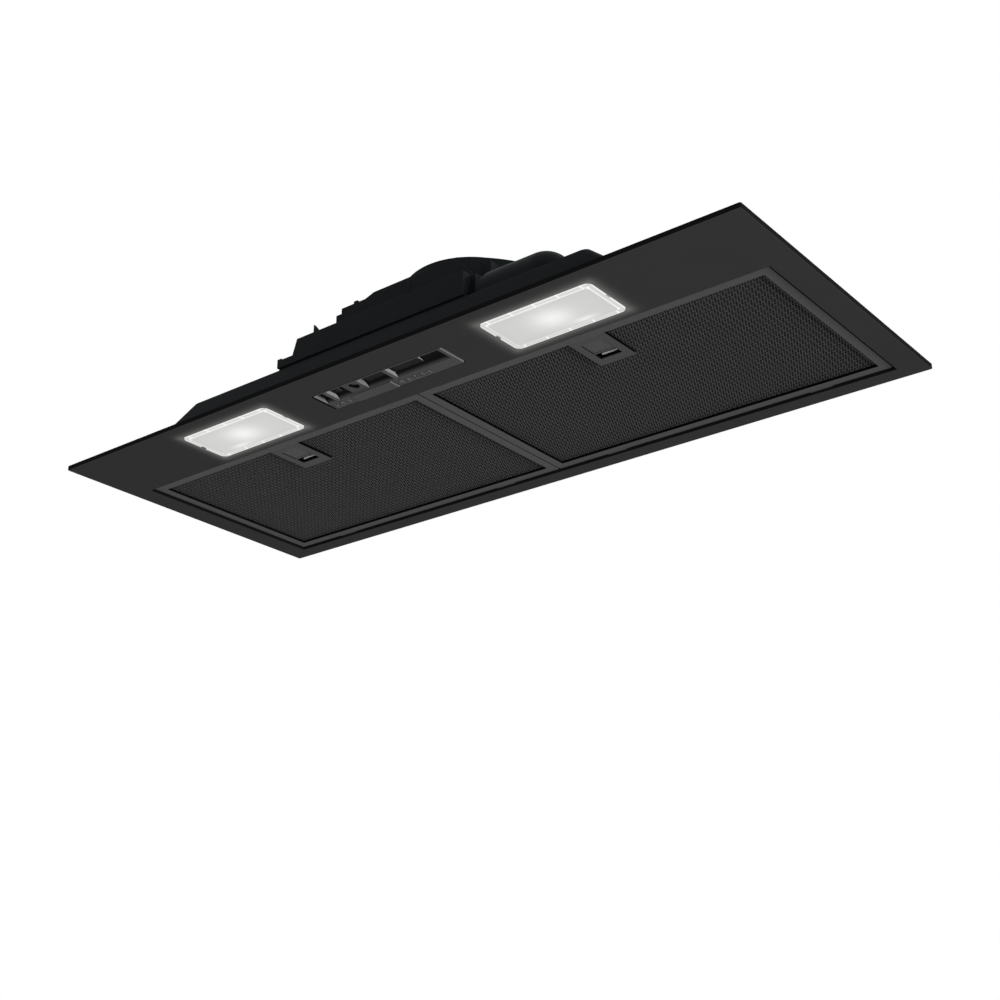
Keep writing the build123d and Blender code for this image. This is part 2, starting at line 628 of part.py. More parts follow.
def fan_base():
    """Tray on the chamber's roof that carries the drum, with an apron down over the front housing."""
    sheet_bottom = FAN_BASE_TOP - FAN_BASE_SHEET
    tray = Pos(0, 0, sheet_bottom) * extrude(fan_base_outline(0), FAN_BASE_SHEET)
    skirt = extrude(fan_base_outline(0) - fan_base_outline(FAN_BASE_SHEET), sheet_bottom - CHAMBER_ROOF)
    skirt_front = CHAMBER_FRONT + FAN_BASE_SHEET
    reach = DRUM_RADIUS + DRUM_FLANGE + FAN_BASE_MARGIN
    tray += (Pos(0, 0, CHAMBER_ROOF) * skirt) & block(
        -reach, reach, skirt_front, FAN_AXIS_Y + reach, CHAMBER_ROOF, sheet_bottom)
    ear_right = FAN_BASE_LEFT + EAR_WIDTH
    step_right = ear_right + EAR_STEP_WIDTH
    rake_top = step_right + APRON_RAKE
    ear_top = APRON_BOTTOM + EAR_HEIGHT
    step_top = ear_top - EAR_STEP_DROP
    apron = polygon(
        (FAN_BASE_LEFT, APRON_BOTTOM), (FAN_BASE_LEFT, ear_top), (ear_right, ear_top), (ear_right, step_top),
        (step_right, step_top), (rake_top, FAN_BASE_TOP), (FAN_BASE_RIGHT, FAN_BASE_TOP),
        (FAN_BASE_RIGHT, APRON_BOTTOM))
    apron_rear = FAN_BASE_FRONT + FAN_BASE_SHEET
    tray += prism_along_y(apron, FAN_BASE_FRONT, apron_rear)
    rebate_rear = apron_rear + FAN_BASE_SHEET
    rebate_top = APRON_BOTTOM + FAN_BASE_SHEET
    tray += block(FAN_BASE_LEFT, FAN_BASE_RIGHT, apron_rear, rebate_rear, FRONT_HOUSING_TOP, rebate_top)
    pillar_front = FAN_BASE_FRONT + PILLAR_SETBACK
    pillar_rear = pillar_front + FAN_BASE_SHEET
    return_x = FAN_BASE_RIGHT - FAN_BASE_SHEET
    tray += block(return_x, FAN_BASE_RIGHT, apron_rear, pillar_rear, APRON_BOTTOM, sheet_bottom)
    tray += block(return_x, PILLAR_RIGHT, pillar_front, pillar_rear, APRON_BOTTOM, sheet_bottom)
    cheek_rear = CHAMBER_FRONT - APRON_GAP
    tray += block(
        rake_top, rake_top + FAN_BASE_SHEET, apron_rear, cheek_rear, APRON_BOTTOM, sheet_bottom)
    tray += block(
        PILLAR_RIGHT - FAN_BASE_SHEET, PILLAR_RIGHT, pillar_front, cheek_rear, APRON_BOTTOM, sheet_bottom)
    tab = polygon(
        (TAB_X - TAB_WIDTH / 2, sheet_bottom), (TAB_X - TAB_WIDTH / 2, FAN_BASE_TOP + TAB_HEIGHT),
        (TAB_X + TAB_WIDTH / 2, FAN_BASE_TOP), (TAB_X + TAB_WIDTH / 2, sheet_bottom))
    tray += prism_along_y(tab, apron_rear, apron_rear + FAN_BASE_SHEET)
    tray -= rod(INLET_RADIUS + INLET_BELL + INLET_WALL, CHAMBER_ROOF, FAN_BASE_TOP + 1, FAN_CENTRE)
    for x, y in DRUM_SCREW_PLACES:
        tray -= screw_hole(x, y, sheet_bottom, FAN_BASE_TOP)
    return tray


def drum_outline(grow):
    """Plan of the drum: a circle with a flat front, grown or shrunk all round."""
    radius = DRUM_RADIUS + grow
    flat = DRUM_FLAT + grow
    window = Pos(0, (radius - flat) / 2) * Rectangle(2 * radius, radius + flat)
    return Pos(*FAN_CENTRE) * (Circle(radius) & window)


def drum_layer(grow, z0, z1):
    """Solid of the drum's plan between two levels."""
    return Pos(0, 0, z0) * extrude(drum_outline(grow), z1 - z0)


def drum_gusset(angle):
    """Curved rib from the drum's foot up its wall."""
    foot = FAN_BASE_TOP + DRUM_FLANGE_THICKNESS
    head = DRUM_TOP - GUSSET_TOP_GAP
    inner = DRUM_RADIUS - DRUM_WALL / 2
    outer = DRUM_RADIUS + GUSSET_REACH
    bulge = (inner + (outer - inner) * GUSSET_HOLLOW, foot + (head - foot) * GUSSET_HOLLOW)
    edge = Line((inner, foot), (outer, foot)) + ThreePointArc((outer, foot), bulge, (inner, head))
    edge += Line((inner, head), (inner, foot))
    rib = prism_along_y(edge, -WING_THICKNESS / 2, WING_THICKNESS / 2)
    return Pos(*FAN_CENTRE) * Rot(0, 0, angle) * rib


def drum_wing():
    """Curved wing that stands to the right of the drum's flat front."""
    corner = sqrt(DRUM_RADIUS ** 2 - DRUM_FLAT ** 2)
    root = corner - DRUM_WALL
    foot = FAN_BASE_TOP + DRUM_FLANGE_THICKNESS
    tip = corner + WING_LENGTH
    bulge = (corner + WING_LENGTH * WING_FULLNESS, foot + (DRUM_TOP - foot) * WING_FULLNESS)
    edge = Line((root, foot), (tip, foot)) + ThreePointArc((tip, foot), bulge, (corner, DRUM_TOP))
    edge += Line((corner, DRUM_TOP), (root, DRUM_TOP)) + Line((root, DRUM_TOP), (root, foot))
    flat_y = FAN_AXIS_Y - DRUM_FLAT
    wing = prism_along_y(edge, flat_y, flat_y + WING_THICKNESS)
    foot_plate = block(root, tip, flat_y - DRUM_FLANGE, flat_y + 2 * WING_THICKNESS, FAN_BASE_TOP, foot)
    return wing + foot_plate


def fan_housing():
    """Moulded drum round the fan, with its foot flange, ribs, wings and a raised lip on top."""
    flange_top = FAN_BASE_TOP + DRUM_FLANGE_THICKNESS
    drum = drum_layer(0, FAN_BASE_TOP, DRUM_TOP)
    drum += drum_layer(DRUM_FLANGE, FAN_BASE_TOP, flange_top)
    gusset_step = (GUSSET_LAST_ANGLE - GUSSET_FIRST_ANGLE) / (GUSSET_COUNT - 1)
    for step in range(GUSSET_COUNT):
        drum += drum_gusset(GUSSET_FIRST_ANGLE + step * gusset_step)
    drum += drum_wing()
    flat_y = FAN_AXIS_Y - DRUM_FLAT
    boss_rear = flat_y + LEFT_BOSS_DEPTH
    step_x = LEFT_BOSS_X + LEFT_BOSS_STEP
    drum += block(LEFT_BOSS_X, 0, flat_y, boss_rear, FAN_BASE_TOP, DRUM_TOP - LEFT_BOSS_DROP)
    drum += block(step_x, 0, flat_y, boss_rear, FAN_BASE_TOP, DRUM_TOP)
    boss_front = flat_y + RIGHT_BOSS_SETBACK
    drum += block(
        RIGHT_BOSS_X - RIGHT_BOSS_WIDTH, RIGHT_BOSS_X, boss_front, boss_front + RIGHT_BOSS_DEPTH,
        FAN_BASE_TOP, DRUM_TOP - RIGHT_BOSS_DROP)
    drum += block(
        NUB_X - NUB_WIDTH / 2, NUB_X + NUB_WIDTH / 2, flat_y, flat_y + DRUM_LIP_WIDTH,
        DRUM_TOP, DRUM_TOP + NUB_HEIGHT)
    lip = drum_layer(0, DRUM_TOP, DRUM_TOP + DRUM_LIP_HEIGHT)
    lip -= drum_layer(-DRUM_LIP_WIDTH, DRUM_TOP - 1, DRUM_TOP + DRUM_LIP_HEIGHT + 1)
    lip_top = DRUM_TOP + DRUM_LIP_HEIGHT + 1
    bare = polygon(
        (-DRUM_RADIUS - 1, DRUM_TOP), (-DRUM_RADIUS - 1, lip_top),
        (DRUM_LIP_START + DRUM_LIP_RAMP, lip_top), (DRUM_LIP_START, DRUM_TOP))
    drum += lip - prism_along_y(bare, FAN_AXIS_Y - DRUM_FLAT - 1, FAN_AXIS_Y - DRUM_RADIUS / 2)
    drum += block(
        SEAM_RIB_X - SEAM_RIB_WIDTH / 2, SEAM_RIB_X + SEAM_RIB_WIDTH / 2,
        flat_y - SEAM_RIB_PROUD, flat_y + DRUM_WALL, flange_top, DRUM_TOP)
    drum -= drum_layer(-DRUM_WALL, FAN_BASE_TOP - 1, DRUM_CEILING)
    drum -= rod(COLLAR_BORE, DRUM_CEILING - 1, DRUM_TOP + 1, FAN_CENTRE)
    for x, y in DRUM_SCREW_PLACES:
        drum -= screw_hole(x, y, FAN_BASE_TOP, flange_top)
    for x, y, _ in COLLAR_SCREW_PLACES + BRACKET_SCREW_PLACES:
        drum -= screw_hole(x, y, DRUM_CEILING, DRUM_TOP)
    return drum


def inlet_ring():
    """Bell-mouthed inlet ring between the chamber's roof and the impeller's eye."""
    bell_radius = INLET_RADIUS + INLET_BELL
    inner_bell = INLET_BELL - INLET_WALL
    flange_edge = bell_radius + INLET_FLANGE
    flange_top = CHAMBER_ROOF + INLET_WALL
    edge = CenterArc((bell_radius, INLET_TOP), INLET_BELL, 180, 90)
    edge += Line((bell_radius, CHAMBER_ROOF), (flange_edge, CHAMBER_ROOF))
    edge += Line((flange_edge, CHAMBER_ROOF), (flange_edge, flange_top))
    edge += Line((flange_edge, flange_top), (bell_radius, flange_top))
    edge += CenterArc((bell_radius, INLET_TOP), inner_bell, 180, 90)
    edge += Line((bell_radius - inner_bell, INLET_TOP), (INLET_RADIUS, INLET_TOP))
    return turned(edge, FAN_CENTRE)


def impeller_blade():
    """One backward-curved blade, an arc of constant thickness between the eye and the rim."""
    tip_radius = IMPELLER_RADIUS - BLADE_THICKNESS / 2
    start = Vector(BLADE_INNER_RADIUS, 0)
    end = Vector(tip_radius * cos(radians(-BLADE_SWEEP_ANGLE)), tip_radius * sin(radians(-BLADE_SWEEP_ANGLE)))
    chord = end - start
    sagitta_leg = sqrt(BLADE_CURVE_RADIUS ** 2 - (chord.length / 2) ** 2)
    centre = (start + end) * 0.5 + Vector(chord.Y, -chord.X).normalized() * sagitta_leg
    first = degrees(atan2(end.Y - centre.Y, end.X - centre.X))
    turn = degrees(atan2(start.Y - centre.Y, start.X - centre.X)) - first
    outer = CenterArc((centre.X, centre.Y), BLADE_CURVE_RADIUS + BLADE_THICKNESS / 2, first, turn)
    inner = CenterArc((centre.X, centre.Y), BLADE_CURVE_RADIUS - BLADE_THICKNESS / 2, first, turn)
    edge = outer + Line(outer @ 1, inner @ 1) + inner + Line(inner @ 0, outer @ 0)
    height = IMPELLER_HEIGHT - IMPELLER_SHEET
    return Pos(0, 0, SHROUD_BOTTOM + IMPELLER_SHEET / 2) * extrude(make_face(edge), height)


def impeller():
    """Fan wheel: a dished backplate on a hub, curved blades and an inlet shroud."""
    plate_bottom = BACKPLATE_TOP - IMPELLER_SHEET
    dish_bottom = DISH_FLOOR - IMPELLER_SHEET
    bore = SHAFT_RADIUS + SHAFT_CLEARANCE
    rim = DISH_RADIUS + DISH_RUN
    backplate = turned(polygon(
        (bore, dish_bottom - HUB_LENGTH), (HUB_RADIUS, dish_bottom - HUB_LENGTH), (HUB_RADIUS, dish_bottom),
        (DISH_RADIUS + IMPELLER_SHEET, dish_bottom), (rim + IMPELLER_SHEET, plate_bottom),
        (IMPELLER_RADIUS, plate_bottom), (IMPELLER_RADIUS, BACKPLATE_TOP), (rim, BACKPLATE_TOP),
        (DISH_RADIUS, DISH_FLOOR), (bore, DISH_FLOOR)))
    shroud_top = SHROUD_BOTTOM + IMPELLER_SHEET
    lip_bottom = SHROUD_BOTTOM - IMPELLER_EYE_LIP
    shroud = turned(polygon(
        (IMPELLER_EYE, lip_bottom), (IMPELLER_EYE + IMPELLER_SHEET, lip_bottom),
        (IMPELLER_EYE + IMPELLER_SHEET, SHROUD_BOTTOM), (IMPELLER_RADIUS, SHROUD_BOTTOM),
        (IMPELLER_RADIUS, shroud_top), (IMPELLER_EYE, shroud_top)))
    blade = impeller_blade()
    blades = [Rot(0, 0, 360 * step / BLADE_COUNT) * blade for step in range(BLADE_COUNT)]
    return Pos(*FAN_CENTRE) * (backplate + shroud + blades)


def motor_shaft():
    """Motor shaft, its foot flush with the hub."""
    foot = DISH_FLOOR - IMPELLER_SHEET - HUB_LENGTH
    return rod(SHAFT_RADIUS, foot, foot + SHAFT_LENGTH, FAN_CENTRE)


def motor():
    """Shaded-pole motor can with rounded ends, cooling slots and a fixing flange."""
    top = MOTOR_BOTTOM + MOTOR_HEIGHT
    can = rod(MOTOR_RADIUS, MOTOR_BOTTOM, top)
    can = chamfer(can.edges().filter_by(GeomType.CIRCLE), MOTOR_EDGE_BEVEL)
    can += rod(MOTOR_RADIUS + MOTOR_FLANGE, BRACKET_BOTTOM - MOTOR_FLANGE_THICKNESS, BRACKET_BOTTOM)
    for x, y, angle in around(MOTOR_SLOT_COUNT, MOTOR_RADIUS):
        slot = Box(2 * MOTOR_SLOT_DEPTH, 2 * MOTOR_EDGE_BEVEL, MOTOR_HEIGHT / 3)
        can -= Pos(x, y, top - MOTOR_HEIGHT / 3) * Rot(0, 0, angle) * slot
    return Pos(*FAN_CENTRE) * (can - rod(SHAFT_RADIUS + SHAFT_CLEARANCE, MOTOR_BOTTOM - 1, top + 1))


def motor_bracket():
    """Ring with radial arms that hangs the motor under the drum's ceiling."""
    inner = MOTOR_RADIUS + BRACKET_CLEARANCE
    bracket = tube(inner + BRACKET_RING, inner, BRACKET_BOTTOM, DRUM_CEILING, FAN_CENTRE)
    for x, y, angle in BRACKET_SCREW_PLACES:
        arm = block(
            inner + BRACKET_RING / 2, BRACKET_REACH, -BRACKET_ARM_WIDTH / 2, BRACKET_ARM_WIDTH / 2,
            BRACKET_BOTTOM, DRUM_CEILING)
        bracket += Pos(*FAN_CENTRE) * Rot(0, 0, angle) * arm
    for x, y, _ in BRACKET_SCREW_PLACES:
        bracket -= screw_hole(x, y, BRACKET_BOTTOM, DRUM_CEILING)
    return bracket


def outlet_collar():
    """Round duct spigot with a screwed flange and an inner seat for the flaps."""
    flange_top = DRUM_TOP + COLLAR_FLANGE_THICKNESS
    seat = COLLAR_BORE - FLAP_SEAT_WIDTH
    seat_bottom = FLAP_SEAT_TOP - FLAP_SEAT_THICKNESS
    collar = turned(polygon(
        (COLLAR_BORE, DRUM_TOP), (DUCT_RADIUS + COLLAR_FLANGE, DRUM_TOP),
        (DUCT_RADIUS + COLLAR_FLANGE, flange_top), (DUCT_RADIUS, flange_top),
        (DUCT_RADIUS, COLLAR_TOP - COLLAR_LEAD), (DUCT_RADIUS - COLLAR_LEAD, COLLAR_TOP),
        (COLLAR_BORE, COLLAR_TOP), (COLLAR_BORE, FLAP_SEAT_TOP), (seat, FLAP_SEAT_TOP),
        (seat, seat_bottom), (COLLAR_BORE, seat_bottom - FLAP_SEAT_WIDTH)), FAN_CENTRE)
    for x, y, _ in COLLAR_SCREW_PLACES:
        collar -= screw_hole(x, y, DRUM_TOP, flange_top)
    hole = FLAP_STUB_RADIUS + FLAP_STUB_CLEARANCE
    for half in (-1, 1):
        axis_y = FAN_AXIS_Y + half * FLAP_AXIS_OFFSET
        collar -= rod_along_x(hole, -DUCT_RADIUS - 1, DUCT_RADIUS + 1, axis_y, FLAP_AXIS_Z)
    return collar


def damper_flap(half):
    """Half-round non-return flap on a barrel along its straight edge, with a stub at each end."""
    radius = COLLAR_BORE - FLAP_EDGE_GAP
    disc = rod(radius, FLAP_BOTTOM, FLAP_BOTTOM + FLAP_THICKNESS, FAN_CENTRE)
    axis_y = FAN_AXIS_Y + half * FLAP_AXIS_OFFSET
    far_y = FAN_AXIS_Y + half * (radius + 1)
    near_y, far_y = sorted((axis_y, far_y))
    flap = disc & block(-radius, radius, near_y, far_y, FLAP_BOTTOM, FLAP_BOTTOM + FLAP_THICKNESS)
    stub_end = sqrt(DUCT_RADIUS ** 2 - FLAP_AXIS_OFFSET ** 2) - FLAP_END_GAP
    flap += rod_along_x(FLAP_BARREL_RADIUS, -radius, radius, axis_y, FLAP_AXIS_Z)
    return flap + rod_along_x(FLAP_STUB_RADIUS, -stub_end, stub_end, axis_y, FLAP_AXIS_Z)


def electrics_block(inset):
    """Plain block of the electrics box's outside, or of its inside when inset by the wall."""
    return block(
        ELECTRICS_LEFT + inset, ELECTRICS_LEFT + ELECTRICS_LENGTH - inset,
        FRONT + ELECTRICS_SETBACK + inset, CHAMBER_FRONT - ELECTRICS_REAR_GAP - inset,
        FRONT_HOUSING_TOP, FRONT_HOUSING_TOP + ELECTRICS_HEIGHT - inset)


def electrics_box():
    """Cover over the capacitor and the terminal block, round in front and at its outer end, open below."""
    cover = electrics_block(0)
    cover = fillet(cover.edges().filter_by(Axis.Z).group_by(Axis.X)[-1], ELECTRICS_END_RADIUS)
    cover = fillet(cover.edges().group_by(Axis.Z)[-1], ELECTRICS_ROUND)
    cavity = electrics_block(ELECTRICS_WALL)
    cavity = chamfer(cavity.edges().filter_by(Axis.Z).group_by(Axis.X)[-1], ELECTRICS_CAVITY_BEVEL)
    return cover - chamfer(cavity.edges().group_by(Axis.Z)[-1], ELECTRICS_CAVITY_BEVEL)


def capacitor():
    """Motor capacitor lying in the electrics box, with its two terminals."""
    x0 = ELECTRICS_LEFT + ELECTRICS_WALL + INNER_GAP + TERMINAL_WIDTH
    y = CHAMBER_FRONT - ELECTRICS_REAR_GAP - ELECTRICS_WALL - CAPACITOR_REAR_GAP - CAPACITOR_RADIUS
    z = FRONT_HOUSING_TOP + INNER_GAP + CAPACITOR_RADIUS
    can = rod_along_x(CAPACITOR_RADIUS, x0, x0 + CAPACITOR_LENGTH, y, z)
    for offset in (-CAPACITOR_RADIUS / 3, CAPACITOR_RADIUS / 3):
        can += rod_along_x(CAPACITOR_PIN_RADIUS, x0 - TERMINAL_WIDTH / 3, x0 + 1, y + offset, z)
    return can


def terminal_block():
    """Screw terminal block for the mains lead."""
    x0 = ELECTRICS_LEFT + ELECTRICS_WALL + TERMINAL_WIDTH
    y0 = FRONT + ELECTRICS_SETBACK + ELECTRICS_WALL + TERMINAL_FRONT_GAP
    base = FRONT_HOUSING_TOP
    body = block(x0, x0 + TERMINAL_LENGTH, y0, y0 + TERMINAL_WIDTH, base, base + TERMINAL_HEIGHT)
    pitch = TERMINAL_LENGTH / TERMINAL_WAYS
    well = base + TERMINAL_HEIGHT / 2
    for way in range(TERMINAL_WAYS):
        place = (x0 + pitch * (way + 0.5), y0 + TERMINAL_WIDTH / 2)
        body -= rod(pitch / 4, well, base + TERMINAL_HEIGHT + 1, place)
    return body


def cable_gland():
    """Cable gland through the chamber's roof: a shoulder and dome outside, a lock nut inside."""
    roof_inside = CHAMBER_ROOF - CHAMBER_WALL
    hexagon = RegularPolygon(GLAND_HEX / 2, 6)
    shoulder_top = CHAMBER_ROOF + GLAND_HEX_HEIGHT
    gland = Pos(0, 0, CHAMBER_ROOF) * extrude(hexagon, GLAND_HEX_HEIGHT)
    dome = rod(GLAND_HEX / 2 - 1, shoulder_top, shoulder_top + GLAND_DOME_HEIGHT)
    gland += chamfer(dome.edges().group_by(Axis.Z)[-1], GLAND_HEX_HEIGHT)
    gland += rod(GLAND_RADIUS, roof_inside - GLAND_HEX_HEIGHT, CHAMBER_ROOF)
    gland += Pos(0, 0, roof_inside - GLAND_HEX_HEIGHT) * extrude(hexagon, GLAND_HEX_HEIGHT)
    gland -= rod(GLAND_BORE, roof_inside - GLAND_HEX_HEIGHT - 1, shoulder_top + GLAND_DOME_HEIGHT + 1)
    return Pos(GLAND_X, GLAND_Y, 0) * gland


def hook_places():
    """Places of the lens hooks round the lamp's mouth, as x, y and the outward sign in y."""
    y = LENS_WIDTH / 2 - LAMP_MOUTH_INSET - LENS_CLEARANCE
    return [(x, sign * y, sign) for sign in (-1, 1) for x in (-HOOK_SPREAD, 0, HOOK_SPREAD)]


def lamp_housing(side):
    """Lamp tray: a flange on the plate and a tapered reflector with windows for the lens hooks."""
    flange_top = INSIDE + LAMP_FLANGE
    mouth_length = LENS_LENGTH - 2 * LAMP_MOUTH_INSET
    mouth_width = LENS_WIDTH - 2 * LAMP_MOUTH_INSET
    crown = INSIDE + LAMP_HEIGHT
    tray = block(
        -LENS_LENGTH / 2 - LAMP_FLANGE_ENDS, LENS_LENGTH / 2 + LAMP_FLANGE_ENDS,
        -LENS_WIDTH / 2 - LAMP_FLANGE_FRONT, LENS_WIDTH / 2 + LAMP_FLANGE_REAR, INSIDE, flange_top)
    tray += loft([
        Pos(0, 0, INSIDE) * Rectangle(mouth_length + 2 * LAMP_WALL, mouth_width + 2 * LAMP_WALL),
        Pos(0, 0, crown) * Rectangle(LAMP_CROWN_LENGTH, LAMP_CROWN_WIDTH)], ruled=True)
    tray -= loft([
        Pos(0, 0, INSIDE) * Rectangle(mouth_length, mouth_width),
        Pos(0, 0, crown) * Rectangle(LAMP_CROWN_LENGTH - 2 * LAMP_WALL, LAMP_CROWN_WIDTH - 2 * LAMP_WALL)],
        ruled=True)
    for x, y, sign in hook_places():
        half = HOOK_WIDTH / 2 + LENS_CLEARANCE
        inward = y - sign * (HOOK_THICKNESS + LENS_CLEARANCE)
        y0, y1 = sorted((inward, y + sign * LENS_CLEARANCE))
        tray -= block(x - half, x + half, y0, y1, INSIDE - 1, flange_top)
        y0, y1 = sorted((inward, y + sign * (HOOK_BARB + LAMP_WALL + 2 * LENS_CLEARANCE)))
        tray -= block(x - half, x + half, y0, y1, flange_top, flange_top + 2 * HOOK_THICKNESS)
    return Pos(side * LENS_CENTRE, LENS_Y, 0) * tray


def lamp_lens(side):
    """Clip-in lamp lens: a rim, a webbed groove and a raised panel, with pry notches and hooks."""
    top = LENS_TOP
    bottom = UNDERSIDE - LENS_PROUD
    floor = bottom + LENS_GROOVE
    lens = rounded_block(LENS_LENGTH, LENS_WIDTH, LENS_CORNER, bottom, top)
    lens -= rounded_block(
        LENS_LENGTH - 2 * LENS_RIM, LENS_WIDTH - 2 * LENS_RIM, LENS_CORNER - LENS_RIM, bottom - 1, floor)
    panel_length = LENS_LENGTH - 2 * LENS_PANEL_INSET
    panel_width = LENS_WIDTH - 2 * LENS_PANEL_INSET
    lens += rounded_block(panel_length, panel_width, LENS_PANEL_CORNER, bottom - LENS_PANEL_RISE, floor)
    web_step = (LENS_LENGTH - 2 * LENS_WEB_MARGIN) / (LENS_WEBS - 1)
    web_end = LENS_WIDTH / 2 - LENS_RIM / 2
    for web in range(LENS_WEBS):
        x = LENS_WEB_MARGIN - LENS_LENGTH / 2 + web * web_step
        half = LENS_WEB_WIDTH / 2
        lens += block(x - half, x + half, -web_end, web_end, bottom, floor)
    for end in (-1, 1):
        x0, x1 = sorted((end * (LENS_LENGTH / 2 - LENS_NOTCH_DEPTH), end * (LENS_LENGTH / 2 + 1)))
        lens -= block(x0, x1, -LENS_NOTCH_WIDTH / 2, LENS_NOTCH_WIDTH / 2, bottom - 1, top + 1)
    seat = INSIDE + LAMP_FLANGE + LENS_CLEARANCE
    for x, y, sign in hook_places():
        y0, y1 = sorted((y, y - sign * HOOK_THICKNESS))
        leg_top = seat + HOOK_THICKNESS
        lens += block(x - HOOK_WIDTH / 2, x + HOOK_WIDTH / 2, y0, y1, top, leg_top)
        y0, y1 = sorted((y, y + sign * HOOK_BARB))
        lens += block(x - HOOK_WIDTH / 2, x + HOOK_WIDTH / 2, y0, y1, seat, leg_top)
    return Pos(side * LENS_CENTRE, LENS_Y, 0) * lens


def led_module(side):
    """Lamp board on the reflector's crown with its domed light source."""
    crown = INSIDE + LAMP_HEIGHT
    board = block(
        -LAMP_CROWN_LENGTH / 2 - LED_BOARD_MARGIN, LAMP_CROWN_LENGTH / 2 + LED_BOARD_MARGIN,
        -LAMP_CROWN_WIDTH / 2, LAMP_CROWN_WIDTH / 2, crown, crown + LED_BOARD_THICKNESS)
    dome = rod(LED_RADIUS, crown - LED_RADIUS / 2, crown)
    dome = chamfer(dome.edges().group_by(Axis.Z)[0], LED_RADIUS / 4)
    return Pos(side * LENS_CENTRE, LENS_Y, 0) * (board + dome)


def channel_form(inset, x0, x1, bottom):
    """Solid that fills the slider channel between two places: square in front, scooped behind."""
    front = CHANNEL_FRONT + inset
    rear = CHANNEL_REAR - inset
    top = CHANNEL_TOP - inset
    scoop_start = CHANNEL_FRONT + CHANNEL_CEILING
    run = rear - scoop_start
    fall = top - PANEL_FACE
    radius = (run ** 2 + fall ** 2) / (2 * fall)
    sweep = degrees(asin(run / radius))
    scoop = CenterArc((scoop_start, top - radius), radius, 90 - sweep, sweep)
    below = PANEL_FACE - 1
    edge = Line((front, below), (rear, below)) + Line((rear, below), (rear, PANEL_FACE)) + scoop
    edge += Line((scoop_start, top), (front, top)) + Line((front, top), (front, below))
    return prism_along_x(edge, x0, x1) & block(x0, x1, front, rear, bottom, top)


def stem_slot(x, travel, z0, z1):
    """Slot that a slider's stem runs in, with room for its travel."""
    half = STEM_LENGTH / 2 + SLIDER_CLEARANCE
    half_width = STEM_WIDTH / 2 + SLIDER_CLEARANCE
    return block(x - half, x + travel + half, STEM_Y - half_width, STEM_Y + half_width, z0, z1)


def pilot_centre():
    """Place of the pilot lamp on the bridge between the two sliders."""
    return BRIDGE_RIGHT - PILOT_FROM_RIGHT, CHANNEL_FRONT + PILOT_FROM_FRONT


def control_bezel():
    """Moulded control panel: a scooped slider channel, a pilot lamp bridge and a blank plaque."""
    bezel = rounded_block(PANEL_LENGTH, PANEL_WIDTH, PANEL_CORNER, PANEL_FACE, BEZEL_TOP, (0, PANEL_Y))
    flange_top = INSIDE + BEZEL_FLANGE_THICKNESS
    bezel += rounded_block(
        PANEL_LENGTH + 2 * BEZEL_FLANGE, PANEL_WIDTH + 2 * BEZEL_FLANGE, PANEL_CORNER, INSIDE, flange_top,
        (0, PANEL_Y))
    half = PANEL_LENGTH / 2
    for end in (-1, 1):
        bevel = polygon(
            (end * (half + 1), PANEL_FACE - 1), (end * (half - BEZEL_END_BEVEL - 1), PANEL_FACE - 1),
            (end * (half + 1), PANEL_FACE + BEZEL_END_BEVEL + 1))
        cut = prism_along_y(bevel, PANEL_FRONT - 1, PANEL_FRONT + PANEL_WIDTH + 1)
        bezel -= cut & block(-half - 1, half + 1, PANEL_FRONT - 1, PANEL_FRONT + PANEL_WIDTH + 1,
                             PANEL_FACE - 1, INSIDE)
    below = PANEL_FACE - 1
    bezel -= channel_form(0, CHANNEL_LEFT, BRIDGE_LEFT, below)
    bezel -= channel_form(0, BRIDGE_RIGHT, CHANNEL_RIGHT, below)
    bridge_face = PANEL_FACE + BRIDGE_SINK
    bezel -= block(BRIDGE_LEFT - 1, BRIDGE_RIGHT + 1, CHANNEL_FRONT, CHANNEL_REAR, below, bridge_face)
    bezel += block(
        PLAQUE_LEFT, PLAQUE_RIGHT, CHANNEL_REAR + PLAQUE_MARGIN, PANEL_FRONT + PANEL_WIDTH - PLAQUE_MARGIN,
        PANEL_FACE - PLAQUE_RISE, PANEL_FACE)
    pilot = pilot_centre()
    ring_face = bridge_face - PILOT_RING_RISE
    bezel += tube(PILOT_RADIUS + PILOT_RING, PILOT_RADIUS, ring_face, bridge_face, pilot)
    bezel -= rod(PILOT_RADIUS + PILOT_CLEARANCE, below, BEZEL_TOP + 1, pilot)
    bezel -= stem_slot(LIGHT_RIDGE_X, LIGHT_TRAVEL, CHANNEL_TOP - 1, BEZEL_TOP + 1)
    return bezel - stem_slot(SPEED_RIDGE_X, SPEED_TRAVEL, CHANNEL_TOP - 1, BEZEL_TOP + 1)


def pilot_lens():
    """Domed pilot lamp lens standing in its hole under the switch block."""
    x, y = pilot_centre()
    face = PANEL_FACE + BRIDGE_SINK + PILOT_SINK
    dome_radius = 2 * PILOT_RADIUS
    dome_rise = dome_radius - sqrt(dome_radius ** 2 - PILOT_RADIUS ** 2)
    dome = Pos(x, y, face + dome_radius) * Sphere(dome_radius)
    stalk = rod(PILOT_RADIUS, face + dome_rise, BEZEL_TOP, (x, y))
    return rod(PILOT_RADIUS, face, BEZEL_TOP, (x, y)) & (dome + stalk)


